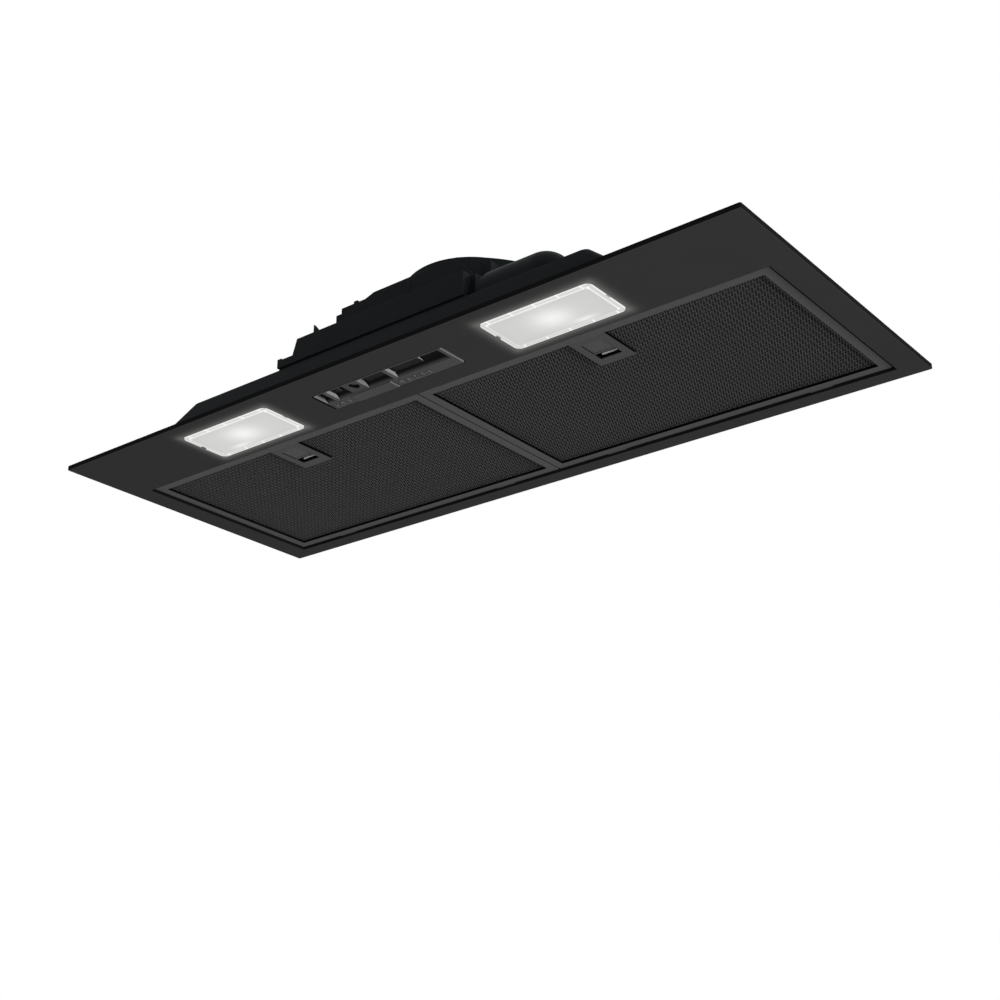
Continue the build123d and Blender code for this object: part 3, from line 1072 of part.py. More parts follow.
def slider(x, skirt_right, skirt_left):
    """Slider: a finger ridge, a shutter that hides the slot, and a stem up to its switch."""
    top = CHANNEL_TOP - SLIDER_CLEARANCE
    x0 = x - RIDGE_WIDTH / 2
    x1 = x + RIDGE_WIDTH / 2
    body = channel_form(SLIDER_CLEARANCE, x0, x1, PANEL_FACE)
    body += channel_form(SLIDER_CLEARANCE, x0 - skirt_left, x1, top - SHUTTER_THICKNESS)
    body += skirt_right
    half = STEM_LENGTH / 2
    stem_top = CHANNEL_TOP + STEM_HEIGHT
    return body + block(x - half, x + half, STEM_Y - STEM_WIDTH / 2, STEM_Y + STEM_WIDTH / 2, top, stem_top)


def light_slider():
    """Lamp switch slider."""
    top = CHANNEL_TOP - SLIDER_CLEARANCE
    x1 = LIGHT_RIDGE_X + RIDGE_WIDTH / 2
    right = BRIDGE_LEFT - SLIDER_CLEARANCE - LIGHT_TRAVEL
    shutter = channel_form(SLIDER_CLEARANCE, LIGHT_RIDGE_X, max(right, x1), top - SHUTTER_THICKNESS)
    return slider(LIGHT_RIDGE_X, shutter, LIGHT_RIDGE_X - RIDGE_WIDTH / 2 - CHANNEL_LEFT - SLIDER_CLEARANCE)


def speed_slider():
    """Fan speed slider with a deep skirt on its right."""
    right = SPEED_RIDGE_X + RIDGE_WIDTH / 2 + SPEED_SKIRT_LENGTH
    skirt = channel_form(SLIDER_CLEARANCE, SPEED_RIDGE_X, right, PANEL_FACE + SPEED_SKIRT_SINK)
    return slider(SPEED_RIDGE_X, skirt, SPEED_SHUTTER_LENGTH)


def switch_block():
    """Switch body on top of the bezel, slotted for the two sliders' stems."""
    half = PANEL_LENGTH / 2 - SWITCH_BLOCK_MARGIN
    top = BEZEL_TOP + SWITCH_BLOCK_HEIGHT
    body = block(-half, half, CHANNEL_FRONT, PANEL_FRONT + PANEL_WIDTH - SWITCH_BLOCK_MARGIN, BEZEL_TOP, top)
    stem_top = CHANNEL_TOP + STEM_HEIGHT + SLIDER_CLEARANCE
    body -= stem_slot(LIGHT_RIDGE_X, LIGHT_TRAVEL, BEZEL_TOP - 1, stem_top)
    return body - stem_slot(SPEED_RIDGE_X, SPEED_TRAVEL, BEZEL_TOP - 1, stem_top)


def filter_frame(side):
    """Channel-section filter frame with a lipped window, rear lugs and a slot for the latch tongue."""
    half = FILTER_WIDTH / 2
    middle = (FILTER_FRONT + FILTER_REAR) / 2
    depth = FILTER_REAR - FILTER_FRONT
    frame = rounded_block(FILTER_WIDTH, depth, FILTER_CORNER, FILTER_BOTTOM, FILTER_TOP, (0, middle))
    skin = FILTER_SHEET
    rail = FILTER_RAIL
    hem = FILTER_BOTTOM + skin + FILTER_HEM
    channel = block(
        -half + skin, half - skin, FILTER_FRONT + skin, FILTER_REAR - skin,
        FILTER_BOTTOM + skin, FILTER_TOP - skin)
    inner = rail - FILTER_LIP
    outer = inner - skin
    hem_wall = block(
        -half + outer, half - outer, FILTER_FRONT + outer, FILTER_REAR - outer, FILTER_BOTTOM, hem)
    hem_wall -= block(
        -half + inner, half - inner, FILTER_FRONT + inner, FILTER_REAR - inner, FILTER_BOTTOM - 1, hem + 1)
    frame -= channel - hem_wall
    frame -= block(
        -half + rail, half - rail, FILTER_FRONT + rail, FILTER_REAR - rail, FILTER_BOTTOM - 1, FILTER_TOP + 1)
    for lug in (-1, 1):
        x = lug * LUG_SPREAD / 2
        bottom = PIVOT_Z - LUG_THICKNESS / 2 + PIVOT_RISE
        frame += block(
            x - LUG_WIDTH / 2, x + LUG_WIDTH / 2, FILTER_REAR - skin, FILTER_REAR + LUG_LENGTH,
            bottom, bottom + LUG_THICKNESS)
    slot = TONGUE_WIDTH / 2 + BUTTON_CLEARANCE
    frame -= block(
        -slot, slot, FILTER_FRONT - 1, FILTER_FRONT + skin + 1,
        TONGUE_BOTTOM - BUTTON_CLEARANCE, TONGUE_TOP + BUTTON_CLEARANCE)
    return Pos(side * FILTER_X, 0, 0) * frame


def filter_mesh(side):
    """Pack of expanded metal in the frame, cut out round the latch."""
    inset = FILTER_SHEET + MESH_CLEARANCE
    half = FILTER_WIDTH / 2 - inset
    bottom = FILTER_BOTTOM + FILTER_SHEET + FILTER_HEM
    top = FILTER_TOP - FILTER_SHEET - MESH_CLEARANCE
    mesh = block(-half, half, FILTER_FRONT + inset, FILTER_REAR - inset, bottom, top)
    cut = LATCH_WIDTH / 2 + MESH_CLEARANCE
    mesh -= block(-cut, cut, FILTER_FRONT, LATCH_REAR + MESH_CLEARANCE, bottom - 1, top + 1)
    return Pos(side * FILTER_X, 0, 0) * mesh


def latch_housing(side):
    """Latch body in the filter: a face flange, a finger recess, guide grooves and a spring bay."""
    centre = (0, LATCH_FRONT + LATCH_LENGTH / 2)
    flange_top = FILTER_BOTTOM + LATCH_FLANGE
    housing = rounded_block(LATCH_WIDTH, LATCH_LENGTH, LATCH_CORNER, FILTER_BOTTOM, flange_top, centre)
    wall = LATCH_WIDTH / 2 - LATCH_FLANGE_REACH
    housing += block(-wall, wall, LATCH_FRONT, LATCH_REAR - LATCH_FLANGE_REACH, flange_top, LATCH_TOP)
    half = RECESS_WIDTH / 2
    housing -= block(-half, half, RECESS_FRONT, RECESS_REAR, FILTER_BOTTOM - 1, RECESS_TOP)
    groove = half + WING_REACH
    wing_bottom = BUTTON_TOP - WING_HEIGHT - BUTTON_CLEARANCE
    housing -= block(
        -groove, groove, RECESS_FRONT, BUTTON_REAR + LATCH_TRAVEL + BUTTON_CLEARANCE, wing_bottom, RECESS_TOP)
    shelf_front = BUTTON_REAR + LATCH_TRAVEL + BUTTON_CLEARANCE
    shelf_bottom = wing_bottom - LATCH_SHELF
    shelf = LATCH_SHELF_WIDTH / 2
    housing += block(-shelf, shelf, shelf_front, RECESS_REAR, shelf_bottom, wing_bottom)
    slot = TONGUE_WIDTH / 2 + BUTTON_CLEARANCE
    housing -= block(
        -slot, slot, LATCH_FRONT - 1, RECESS_FRONT + 1,
        TONGUE_BOTTOM - BUTTON_CLEARANCE, TONGUE_TOP + BUTTON_CLEARANCE)
    return Pos(side * FILTER_X, 0, 0) * housing


def latch_button(side):
    """Sliding latch button with finger dots, a rear lip, guide wings and its tongue."""
    half = RECESS_WIDTH / 2 - BUTTON_CLEARANCE
    button = block(-half, half, BUTTON_FRONT, BUTTON_REAR, BUTTON_BOTTOM, BUTTON_TOP)
    button += block(-half, half, BUTTON_REAR - BUTTON_LIP, BUTTON_REAR, FILTER_BOTTOM, BUTTON_BOTTOM)
    wing = half + WING_REACH
    button += block(-wing, wing, BUTTON_FRONT, BUTTON_REAR, BUTTON_TOP - WING_HEIGHT, BUTTON_TOP)
    dots_y = BUTTON_FRONT + (BUTTON_LENGTH - BUTTON_LIP) / 2
    for column in (-1, 0, 1):
        for row in (-1, 0, 1):
            x = column * BUTTON_DOT_PITCH_ACROSS
            y = dots_y + row * BUTTON_DOT_PITCH_ALONG
            dot = Cone(BUTTON_DOT_RADIUS / 2, BUTTON_DOT_RADIUS, BUTTON_SINK)
            button += Pos(x, y, BUTTON_BOTTOM - BUTTON_SINK / 2) * dot
    button += block(
        -TONGUE_WIDTH / 2, TONGUE_WIDTH / 2, TONGUE_TIP, BUTTON_FRONT, TONGUE_BOTTOM, TONGUE_TOP)
    return Pos(side * FILTER_X, 0, 0) * button


def latch_spring(side):
    """Folded strip spring between the button and the rear of its bay."""
    y0 = BUTTON_REAR + SPRING_STRIP
    y1 = RECESS_REAR - SPRING_STRIP
    step = (y1 - y0) / SPRING_LEGS
    points = [(0, y0)]
    for leg in range(SPRING_LEGS):
        swing = SPRING_SWING if leg % 2 else -SPRING_SWING
        points.append((swing, y0 + step * (leg + 0.5)))
    points.append((0, y1))
    strip = trace(Polyline(*points), SPRING_STRIP)
    z = BUTTON_TOP - SPRING_HEIGHT
    return Pos(side * FILTER_X, 0, z) * extrude(strip, SPRING_HEIGHT)


def catch_pivot():
    """Pivot of the right-hand catch above the chamber's sloping side, with the slope's direction."""
    run = CHAMBER_SIDE_DRAW
    rise = CHAMBER_ROOF - CHAMBER_SHOULDER
    length = hypot(run, rise)
    along = Vector(-run / length, rise / length)
    outward = Vector(rise / length, run / length)
    lift = BRACKET_SHEET + CATCH_BARREL + CATCH_SIDE_GAP
    return Vector(CHAMBER_X, CHAMBER_SHOULDER) + along * CATCH_UP_SLOPE + outward * lift, along, outward


def catch_bracket(side):
    """Bracket on the chamber's sloping side with two ears and the catch's pivot pin."""
    pivot, along, outward = catch_pivot()
    seat = pivot - outward * (CATCH_BARREL + CATCH_SIDE_GAP)
    foot = pivot - outward * (BRACKET_SHEET + CATCH_BARREL + CATCH_SIDE_GAP)
    upper = along * (CATCH_BASE_LENGTH / 2)
    lower = along * (CATCH_BARREL + CATCH_EAR)
    corners = [seat + upper, seat - lower, foot - lower, foot + upper]
    half = CATCH_WIDTH / 2 + CATCH_SIDE_GAP + CATCH_EAR
    base = prism_along_y(polygon(*[(p.X, p.Y) for p in corners]), CATCH_Y - half, CATCH_Y + half)
    crest = outward * CATCH_BARREL
    shoulder = along * CATCH_BARREL
    ear_points = [seat + lower, pivot + shoulder, pivot + crest, pivot - shoulder, seat - lower]
    ear = polygon(*[(p.X, p.Y) for p in ear_points])
    for y0 in (CATCH_Y - half, CATCH_Y + half - CATCH_EAR):
        base += prism_along_y(ear, y0, y0 + CATCH_EAR)
    base += rod_along_y(CATCH_PIN_RADIUS, CATCH_Y - half, CATCH_Y + half, pivot.X, pivot.Y)
    return base if side > 0 else mirror(base, Plane.YZ)


def side_catch(side):
    """Sprung catch leaf on its pin, drooping out over the cabinet's cut-out."""
    pivot, _, _ = catch_pivot()
    droop = radians(CATCH_DROOP_ANGLE)
    reach = Vector(cos(droop), -sin(droop))
    normal = Vector(sin(droop), cos(droop)) * (CATCH_SHEET / 2)
    tip = pivot + reach * CATCH_LENGTH
    leaf_points = [pivot + normal, tip + normal, tip - normal, pivot - normal]
    y0 = CATCH_Y - CATCH_WIDTH / 2
    y1 = CATCH_Y + CATCH_WIDTH / 2
    leaf = prism_along_y(polygon(*[(p.X, p.Y) for p in leaf_points]), y0, y1)
    leaf += rod_along_y(CATCH_BARREL, y0, y1, pivot.X, pivot.Y)
    leaf -= rod_along_y(CATCH_PIN_RADIUS + CATCH_PIN_CLEARANCE, y0 - 1, y1 + 1, pivot.X, pivot.Y)
    return leaf if side > 0 else mirror(leaf, Plane.YZ)


def screw_group(places, seat, tip):
    """Set of like screws as one node of separate solids."""
    return Compound(children=[screw(place[0], place[1], seat, tip).solid() for place in places])


def all_parts():
    """Every node of the hood by name."""
    flange_top = FAN_BASE_TOP + DRUM_FLANGE_THICKNESS
    parts = {
        "fascia_plate": fascia_plate(),
        "air_chamber": air_chamber(),
        "front_housing": front_housing(),
        "fan_base": fan_base(),
        "fan_housing": fan_housing(),
        "inlet_ring": inlet_ring(),
        "impeller": impeller(),
        "motor_shaft": motor_shaft(),
        "motor": motor(),
        "motor_bracket": motor_bracket(),
        "outlet_collar": outlet_collar(),
        "damper_flap_front": damper_flap(-1),
        "damper_flap_rear": damper_flap(1),
        "electrics_box": electrics_box(),
        "capacitor": capacitor(),
        "terminal_block": terminal_block(),
        "cable_gland": cable_gland(),
        "control_bezel": control_bezel(),
        "pilot_lens": pilot_lens(),
        "light_slider": light_slider(),
        "speed_slider": speed_slider(),
        "switch_block": switch_block(),
        "drum_screws": screw_group(DRUM_SCREW_PLACES, flange_top, FAN_BASE_TOP - FAN_BASE_SHEET),
        "collar_screws": screw_group(
            COLLAR_SCREW_PLACES, DRUM_TOP + COLLAR_FLANGE_THICKNESS, DRUM_CEILING),
        "bracket_screws": screw_group(BRACKET_SCREW_PLACES, DRUM_TOP, BRACKET_BOTTOM),
    }
    for name, side in SIDES.items():
        parts[f"lamp_housing_{name}"] = lamp_housing(side)
        parts[f"lamp_lens_{name}"] = lamp_lens(side)
        parts[f"led_module_{name}"] = led_module(side)
        parts[f"filter_frame_{name}"] = filter_frame(side)
        parts[f"filter_mesh_{name}"] = filter_mesh(side)
        parts[f"latch_housing_{name}"] = latch_housing(side)
        parts[f"latch_button_{name}"] = latch_button(side)
        parts[f"latch_spring_{name}"] = latch_spring(side)
        parts[f"catch_bracket_{name}"] = catch_bracket(side)
        parts[f"side_catch_{name}"] = side_catch(side)
    return parts


os.makedirs("parts", exist_ok=True)
for node, shape in all_parts().items():
    export_step(shape, f"parts/{node}.step")
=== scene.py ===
"""Looks of a built-in range hood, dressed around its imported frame.

Lengths in the classes are millimetres in the row frame, and meshes are made in metres.
"""

import logging
import math
from collections.abc import Iterable, Mapping, Sequence
from dataclasses import dataclass
from enum import Enum
from functools import partial
from typing import Any

import bmesh
import bpy
from mathutils import Matrix, Vector


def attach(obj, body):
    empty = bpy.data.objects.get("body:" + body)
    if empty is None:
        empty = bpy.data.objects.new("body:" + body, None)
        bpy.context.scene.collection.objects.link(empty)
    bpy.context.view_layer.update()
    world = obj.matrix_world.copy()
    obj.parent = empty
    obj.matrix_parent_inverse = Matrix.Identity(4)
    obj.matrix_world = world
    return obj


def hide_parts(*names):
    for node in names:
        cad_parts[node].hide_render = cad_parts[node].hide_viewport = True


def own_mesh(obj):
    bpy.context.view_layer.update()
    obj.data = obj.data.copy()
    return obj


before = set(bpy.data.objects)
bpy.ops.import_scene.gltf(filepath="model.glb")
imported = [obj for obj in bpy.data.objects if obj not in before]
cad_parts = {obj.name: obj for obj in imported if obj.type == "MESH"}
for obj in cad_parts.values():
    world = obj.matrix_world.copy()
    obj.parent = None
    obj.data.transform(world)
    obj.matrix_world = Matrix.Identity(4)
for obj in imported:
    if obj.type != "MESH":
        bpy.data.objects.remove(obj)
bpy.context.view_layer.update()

LOG = logging.getLogger("range_hood")
MM = 0.001
CLOUD_MM = 35.7  # Size of the faint clouds of tone.
CLOUD_DETAIL = 5.0
GRAIN_DETAIL = 3.0
RANGE = ("From Min", "From Max", "To Min", "To Max")  # Sockets of a MapRange node.
NOISE_SPAN = (0.3, 0.7)  # Nearly all of a noise's values lie between these.
BEVEL_RAYS = 6
EDGE_HIGHLIGHT_LEAN = (0.97, 0.8)  # Cosines of an edge's rounding where the painted edge highlight starts and where it is full.
BEND_HIGHLIGHT = 1.5  # Colour on the line where a sheet starts to bend, over that of its flat: a painted highlight.
UPRIGHT_FACING = 0.82  # Vertical part of the normal up to which a face counts as upright.
BEND_FACING = (0.9, 0.97)  # The same on the line where a sheet starts to bend.
FLAT_FACING = 0.99  # The same from which a face counts as flat.
RECESS_LEFT = 0.03  # Share of the colour left at the bottom of recesses, as painted shade.
SIDE_HIGHLIGHT_FACING = (0.4, 0.8)  # Part of the normal along x where the painted highlight on faces along x starts and is full.
TEXT_OVER_FIGURE = 1.4  # Text size over the height of its figures.
TEXT_STEPS = 4

Tree = bpy.types.NodeTree
Node = bpy.types.Node
Socket = bpy.types.NodeSocket
Mesh = bpy.types.Mesh
Shape = bmesh.types.BMesh
Point = tuple[float, float, float]
Pair = tuple[float, float]
Outline = Sequence[Pair]


def linear(hex_colour: str) -> tuple[float, float, float, float]:
    """Turns an sRGB hex colour into linear light.

    Args:
        hex_colour: Six hex digits.

    Returns:
        Red, green, blue and a full alpha.
    """
    shares = [int(hex_colour[at:at + 2], 16) / 255 for at in (0, 2, 4)]
    light = [s / 12.92 if s <= 0.04045 else ((s + 0.055) / 1.055) ** 2.4 for s in shares]
    return light[0], light[1], light[2], 1.0


def add_node(
    tree: Tree, kind: str, values: Mapping[int | str, Any] | None = None,
    links: Mapping[int | str, Socket] | None = None, **settings: Any,
) -> Node:
    """Adds a node with its settings and links.

    Args:
        tree: The material or world that gets the node.
        kind: Blender's name of the node type, without its ShaderNode prefix.
        values: Constant inputs by socket name or place.
        links: Outputs to join to inputs, by socket name or place.
        **settings: Attributes of the node itself.

    Returns:
        The new node.
    """
    made = tree.nodes.new("ShaderNode" + kind)
    for key, value in settings.items():
        setattr(made, key, value)
    for key, value in (values or {}).items():
        made.inputs[key].default_value = value
    for key, source in (links or {}).items():
        tree.links.new(source, made.inputs[key])
    return made


def set_stops(ramp: bpy.types.ColorRamp, levels: Sequence[Pair]) -> None:
    """Sets the stops of a new ramp to levels of grey.

    Args:
        ramp: The ramp, which has two stops.
        levels: Each stop's place and level, in order.
    """
    for at, _ in levels[1:-1]:
        ramp.elements.new(at)
    for stop, (at, level) in zip(ramp.elements, levels):
        stop.position = at
        stop.color = (level, level, level, 1.0)


class Side(Enum):
    """The two ends of the hood, with the sign of x there."""

    LEFT = -1
    RIGHT = 1

    def node(self, stem: str) -> str:
        """Gives the name of this side's node or body."""
        return f"{stem}_{self.name.lower()}"


class Grain(Enum):
    """The pattern that a way of making leaves on a surface."""

    SPRAYED = "sprayed"
    MOULDED = "moulded"
    BRUSHED = "brushed"
    PRESSED = "pressed"

    @property
    def stretch(self) -> Point:
        """Gives the pattern's scale along each axis, small where the tool ran."""
        return (0.03, 1.0, 1.0) if self is Grain.BRUSHED else (1.0, 1.0, 1.0)

    @property
    def in_cells(self) -> bool:
        """Says whether the relief stands in round cells and not in clouds."""
        return self in (Grain.SPRAYED, Grain.MOULDED)


@dataclass(frozen=True)
class Finish:
    """A real material with the surface that its making left on it, and the highlights and shade
    painted on it.

    Attributes:
        name: The material's common name and finish.
        colour: Main colour, sRGB hex.
        second: Colour of the broad faint clouds, sRGB hex.
        roughness: Lowest and highest roughness over the grain.
        grain: How the surface was made.
        grain_mm: Distance between grains.
        relief_mm: Depth of the grain.
        specular: Level of the plain reflection.
        metallic: 1 for bare metal.
        edge: Colour of the painted highlight along edges, sRGB hex.
        edge_mm: Width of that painted highlight, 0 for none.
        upright: Share of the colour left on upright faces as painted shade, since they get little
            light.
        recess: Levels in millimetres between which recesses go dark as painted shade, None for
            none.
        side_highlight: Colour of the painted highlight on faces that face along x, sRGB hex, empty
            for none.
        highlight_gap: Middle and half of the stretch along x left without that painted highlight,
            in millimetres.
    """

    name: str
    colour: str
    second: str
    roughness: Pair
    grain: Grain
    grain_mm: float
    relief_mm: float
    specular: float = 0.5
    metallic: float = 0.0
    edge: str = "808080"
    edge_mm: float = 0.0
    upright: float = 1.0
    recess: Pair | None = None
    side_highlight: str = ""
    highlight_gap: Pair = (0.0, 0.0)

    def material(self) -> bpy.types.Material:
        """Builds the finish once.

        Returns:
            The material, new or from an earlier call.
        """
        known = bpy.data.materials.get(self.name)
        if known is not None:
            return known
        made = bpy.data.materials.new(self.name)
        made.use_nodes = True
        tree = made.node_tree
        tree.nodes.clear()
        place = add_node(tree, "TexCoord").outputs["Object"]
        shader = add_node(
            tree, "BsdfPrincipled", {"Metallic": self.metallic, "Specular IOR Level": self.specular}
        )
        self.paint(tree, shader, place)
        output = add_node(tree, "OutputMaterial", links={"Surface": shader.outputs["BSDF"]})
        output.is_active_output = True
        return made

    def paint(self, tree: Tree, shader: Node, place: Socket) -> None:
        """Gives the shader its colour, roughness and relief.

        Args:
            tree: The material's nodes.
            shader: The principled shader.
            place: Position on it, in metres.
        """
        run = add_node(
            tree, "VectorMath", {1: self.grain.stretch}, {0: place}, operation="MULTIPLY"
        ).outputs["Vector"]
        scale = 1 / (self.grain_mm * MM)
        broad = 1 / (CLOUD_MM * MM)
        clouds = add_node(
            tree, "TexNoise", {"Scale": broad, "Detail": CLOUD_DETAIL}, {"Vector": place}
        )
        fine = add_node(tree, "TexNoise", {"Scale": scale, "Detail": GRAIN_DETAIL}, {"Vector": run})
        height = fine.outputs["Fac"]
        if self.grain.in_cells:
            cells = add_node(
                tree, "TexVoronoi", {"Scale": scale}, {"Vector": run}, feature="SMOOTH_F1"
            )
            height = cells.outputs["Distance"]
        colour = add_node(
            tree, "Mix", {6: linear(self.colour), 7: linear(self.second)},
            {0: clouds.outputs["Fac"]}, data_type="RGBA",
        ).outputs[2]
        rough = add_node(
            tree, "MapRange", dict(zip(RANGE, (*NOISE_SPAN, *self.roughness))),
            {"Value": fine.outputs["Fac"]},
        )
        bump = add_node(
            tree, "Bump", {"Strength": 1.0, "Distance": self.relief_mm * MM}, {"Height": height}
        )
        # Painted highlight: the colour goes to the edge colour where the rounded normal leans off
        # the true one.
        if self.edge_mm > 0:
            round_edge = add_node(tree, "Bevel", {"Radius": self.edge_mm * MM}, samples=BEVEL_RAYS)
            true = add_node(tree, "NewGeometry").outputs["Normal"]
            lean = add_node(
                tree, "VectorMath", links={0: round_edge.outputs["Normal"], 1: true},
                operation="DOT_PRODUCT",
            )
            edge_highlight = add_node(
                tree, "MapRange", dict(zip(RANGE, EDGE_HIGHLIGHT_LEAN)), {"Value": lean.outputs["Value"]}
            )
            colour = add_node(
                tree, "Mix", {7: linear(self.edge)}, {0: edge_highlight.outputs["Result"], 6: colour},
                data_type="RGBA",
            ).outputs[2]
            tree.links.new(round_edge.outputs["Normal"], bump.inputs["Normal"])
        colour = self.paint_shade_and_highlights(tree, colour, place)
        tree.links.new(colour, shader.inputs["Base Color"])
        tree.links.new(rough.outputs["Result"], shader.inputs["Roughness"])
        tree.links.new(bump.outputs["Normal"], shader.inputs["Normal"])

    def light_up(self, tree: Tree, shader: Node, colour: str, level: Socket) -> None:
        """Lets the surface give light.

        Args:
            tree: The material's nodes.
            shader: The principled shader.
            colour: Colour of the light, sRGB hex.
            level: Strength of the light at each place.
        """
        tint = add_node(
            tree, "VectorMath", {0: linear(colour)[:3]}, {"Scale": level}, operation="SCALE"
        )
        tree.links.new(tint.outputs["Vector"], shader.inputs["Emission Color"])
        shader.inputs["Emission Strength"].default_value = 1.0

    def paint_shade_and_highlights(self, tree: Tree, colour: Socket, place: Socket) -> Socket:
        """Paints shade on upright faces and down in recesses, and highlights where a sheet bends
        and on faces along x.

        Args:
            tree: The material's nodes.
            colour: The open faces' colour.
            place: Position on it, in metres.

        Returns:
            The colour with its painted shade and highlights at each place.
        """
        normal = add_node(tree, "NewGeometry").outputs["True Normal"]
        sizes = add_node(tree, "VectorMath", links={0: normal}, operation="ABSOLUTE")
        facing = add_node(tree, "SeparateXYZ", links={0: sizes.outputs[0]})
        parts = add_node(tree, "SeparateXYZ", links={0: place})
        shares = []
        # Painted shade on upright faces, and a painted highlight on the line where a sheet starts
        # to bend.
        if self.upright < 1:
            bend = add_node(tree, "ValToRGB", links={0: facing.outputs["Z"]})
            levels = [(0.0, self.upright), (UPRIGHT_FACING, self.upright)]
            levels += [(at, 1.0) for at in BEND_FACING]
            set_stops(bend.color_ramp, [*levels, (FLAT_FACING, 1 / BEND_HIGHLIGHT)])
            shares.append(add_node(
                tree, "Math", {1: BEND_HIGHLIGHT}, {0: bend.outputs["Color"]}, operation="MULTIPLY"
            ))
        # Painted shade, darker the deeper the face lies in the channel.
        if self.recess is not None:
            low, high = self.recess
            shares.append(add_node(
                tree, "MapRange", dict(zip(RANGE, (low * MM, high * MM, 1.0, RECESS_LEFT))),
                {"Value": parts.outputs["Z"]},
            ))
        for share in shares:
            colour = add_node(
                tree, "VectorMath", links={0: colour, "Scale": share.outputs[0]}, operation="SCALE"
            ).outputs["Vector"]
        # Painted highlight on faces that face along x, left out over the gap along x.
        if self.side_highlight:
            along = add_node(
                tree, "MapRange", dict(zip(RANGE, SIDE_HIGHLIGHT_FACING)), {"Value": facing.outputs["X"]}
            )
            middle, half = self.highlight_gap
            clear = add_node(
                tree, "Math", {1: middle * MM, 2: half * MM}, {0: parts.outputs["X"]},
                operation="COMPARE",
            )
            share = add_node(
                tree, "Math", links={0: along.outputs["Result"], 1: clear.outputs[0]},
                operation="SUBTRACT", use_clamp=True,
            )
            colour = add_node(
                tree, "Mix", {7: linear(self.side_highlight)}, {0: share.outputs[0], 6: colour},
                data_type="RGBA",
            ).outputs[2]
        return colour


@dataclass(frozen=True)
class FacetedFoil(Finish):
    """Stretched foil whose facets turned away from one way get painted shade, so they read lit one
    way and shaded the other.

    Attributes:
        turned: Way that the facets which read as lit face.
        shaded_share: Share of the colour on the facets turned away, as painted shade.
        lean: Cosines to that way between which a facet goes from painted shade to full colour.
        lean: Cosines to that way between which a facet goes from dull to bright.
    """

    turned: Point = (0.7, -0.7, 0.0)
    shaded_share: float = 0.45
    lean: Pair = (-0.1, 0.25)

    def paint_shade_and_highlights(self, tree: Tree, colour: Socket, place: Socket) -> Socket:
        """Paints shade on the facets that are turned away.

        Args:
            tree: The material's nodes.
            colour: The bright facets' colour.
            place: Position on it, in metres.

        Returns:
            The colour with the painted shade on each facet.
        """
        colour = super().paint_shade_and_highlights(tree, colour, place)
        normal = add_node(tree, "NewGeometry").outputs["True Normal"]
        facing = add_node(
            tree, "VectorMath", {1: self.turned}, {0: normal}, operation="DOT_PRODUCT"
        )
        share = add_node(
            tree, "MapRange", dict(zip(RANGE, (*self.lean, self.shaded_share))),
            {"Value": facing.outputs["Value"]},
        )
        return add_node(
            tree, "VectorMath", links={0: colour, "Scale": share.outputs[0]}, operation="SCALE"
        ).outputs["Vector"]


@dataclass(frozen=True)
class LensPlace:
    """Where a lamp lens lies on the plate, the same at both ends.

    Attributes:
        centre: Its middle, with x without its sign.
        half: Half its length and half its width.
    """

    centre: Pair = (164.75, -104.55)
    half: Pair = (50.75, 24.75)

    def local(self, tree: Tree, place: Socket) -> tuple[Socket, Socket]:
        """Measures from the nearer lens's centre.

        Args:
            tree: The material's nodes.
            place: Position on it, in metres.

        Returns:
            Distance outwards along x and along y, in millimetres.
        """
        parts = add_node(tree, "SeparateXYZ", links={0: place})
        away = add_node(tree, "Math", links={0: parts.outputs["X"]}, operation="ABSOLUTE")
        along = [
            add_node(
                tree, "Math", {1: 1 / MM, 2: -middle}, {0: source}, operation="MULTIPLY_ADD"
            ).outputs["Value"]
            for source, middle in (
                (away.outputs["Value"], self.centre[0]),
                (parts.outputs["Y"], self.centre[1]),
            )
        ]
        return along[0], along[1]


@dataclass(frozen=True)
class LampLitCoat(Finish):
    """Powder coat that also shows the light spilled on it round each lamp lens.

    Attributes:
        lens: Where the lenses lie.
        spill: Colour of the spilled light, sRGB hex.
        strength: Light at the lens's edge.
        reach: Distance in millimetres over which it falls to a third.
        fall: Power of the fall, 1 for a plain exponential and 2 for a bell.
    """

    lens: LensPlace = LensPlace()
    spill: str = "fffdf8"
    strength: float = 0.11
    reach: float = 4.9
    fall: float = 1.48

    def paint(self, tree: Tree, shader: Node, place: Socket) -> None:
        """Adds the spilled light to the plain coat.

        Args:
            tree: The material's nodes.
            shader: The principled shader.
            place: Position on it, in metres.
        """
        super().paint(tree, shader, place)
        outside = []
        for along, half in zip(self.lens.local(tree, place), self.lens.half):
            size = add_node(tree, "Math", links={0: along}, operation="ABSOLUTE")
            past = add_node(tree, "Math", {1: half}, {0: size.outputs[0]}, operation="SUBTRACT")
            outside.append(
                add_node(tree, "Math", {1: 0.0}, {0: past.outputs[0]}, operation="MAXIMUM")
            )
        offset = add_node(
            tree, "CombineXYZ", links={0: outside[0].outputs[0], 1: outside[1].outputs[0]}
        )
        away = add_node(tree, "VectorMath", links={0: offset.outputs[0]}, operation="LENGTH")
        share = add_node(
            tree, "Math", {1: self.reach}, {0: away.outputs["Value"]}, operation="DIVIDE"
        )
        power = add_node(tree, "Math", {1: self.fall}, {0: share.outputs[0]}, operation="POWER")
        left = add_node(tree, "Math", {0: 1 / math.e}, {1: power.outputs[0]}, operation="POWER")
        light = add_node(
            tree, "Math", {1: self.strength}, {0: left.outputs[0]}, operation="MULTIPLY"
        )
        self.light_up(tree, shader, self.spill, light.outputs[0])


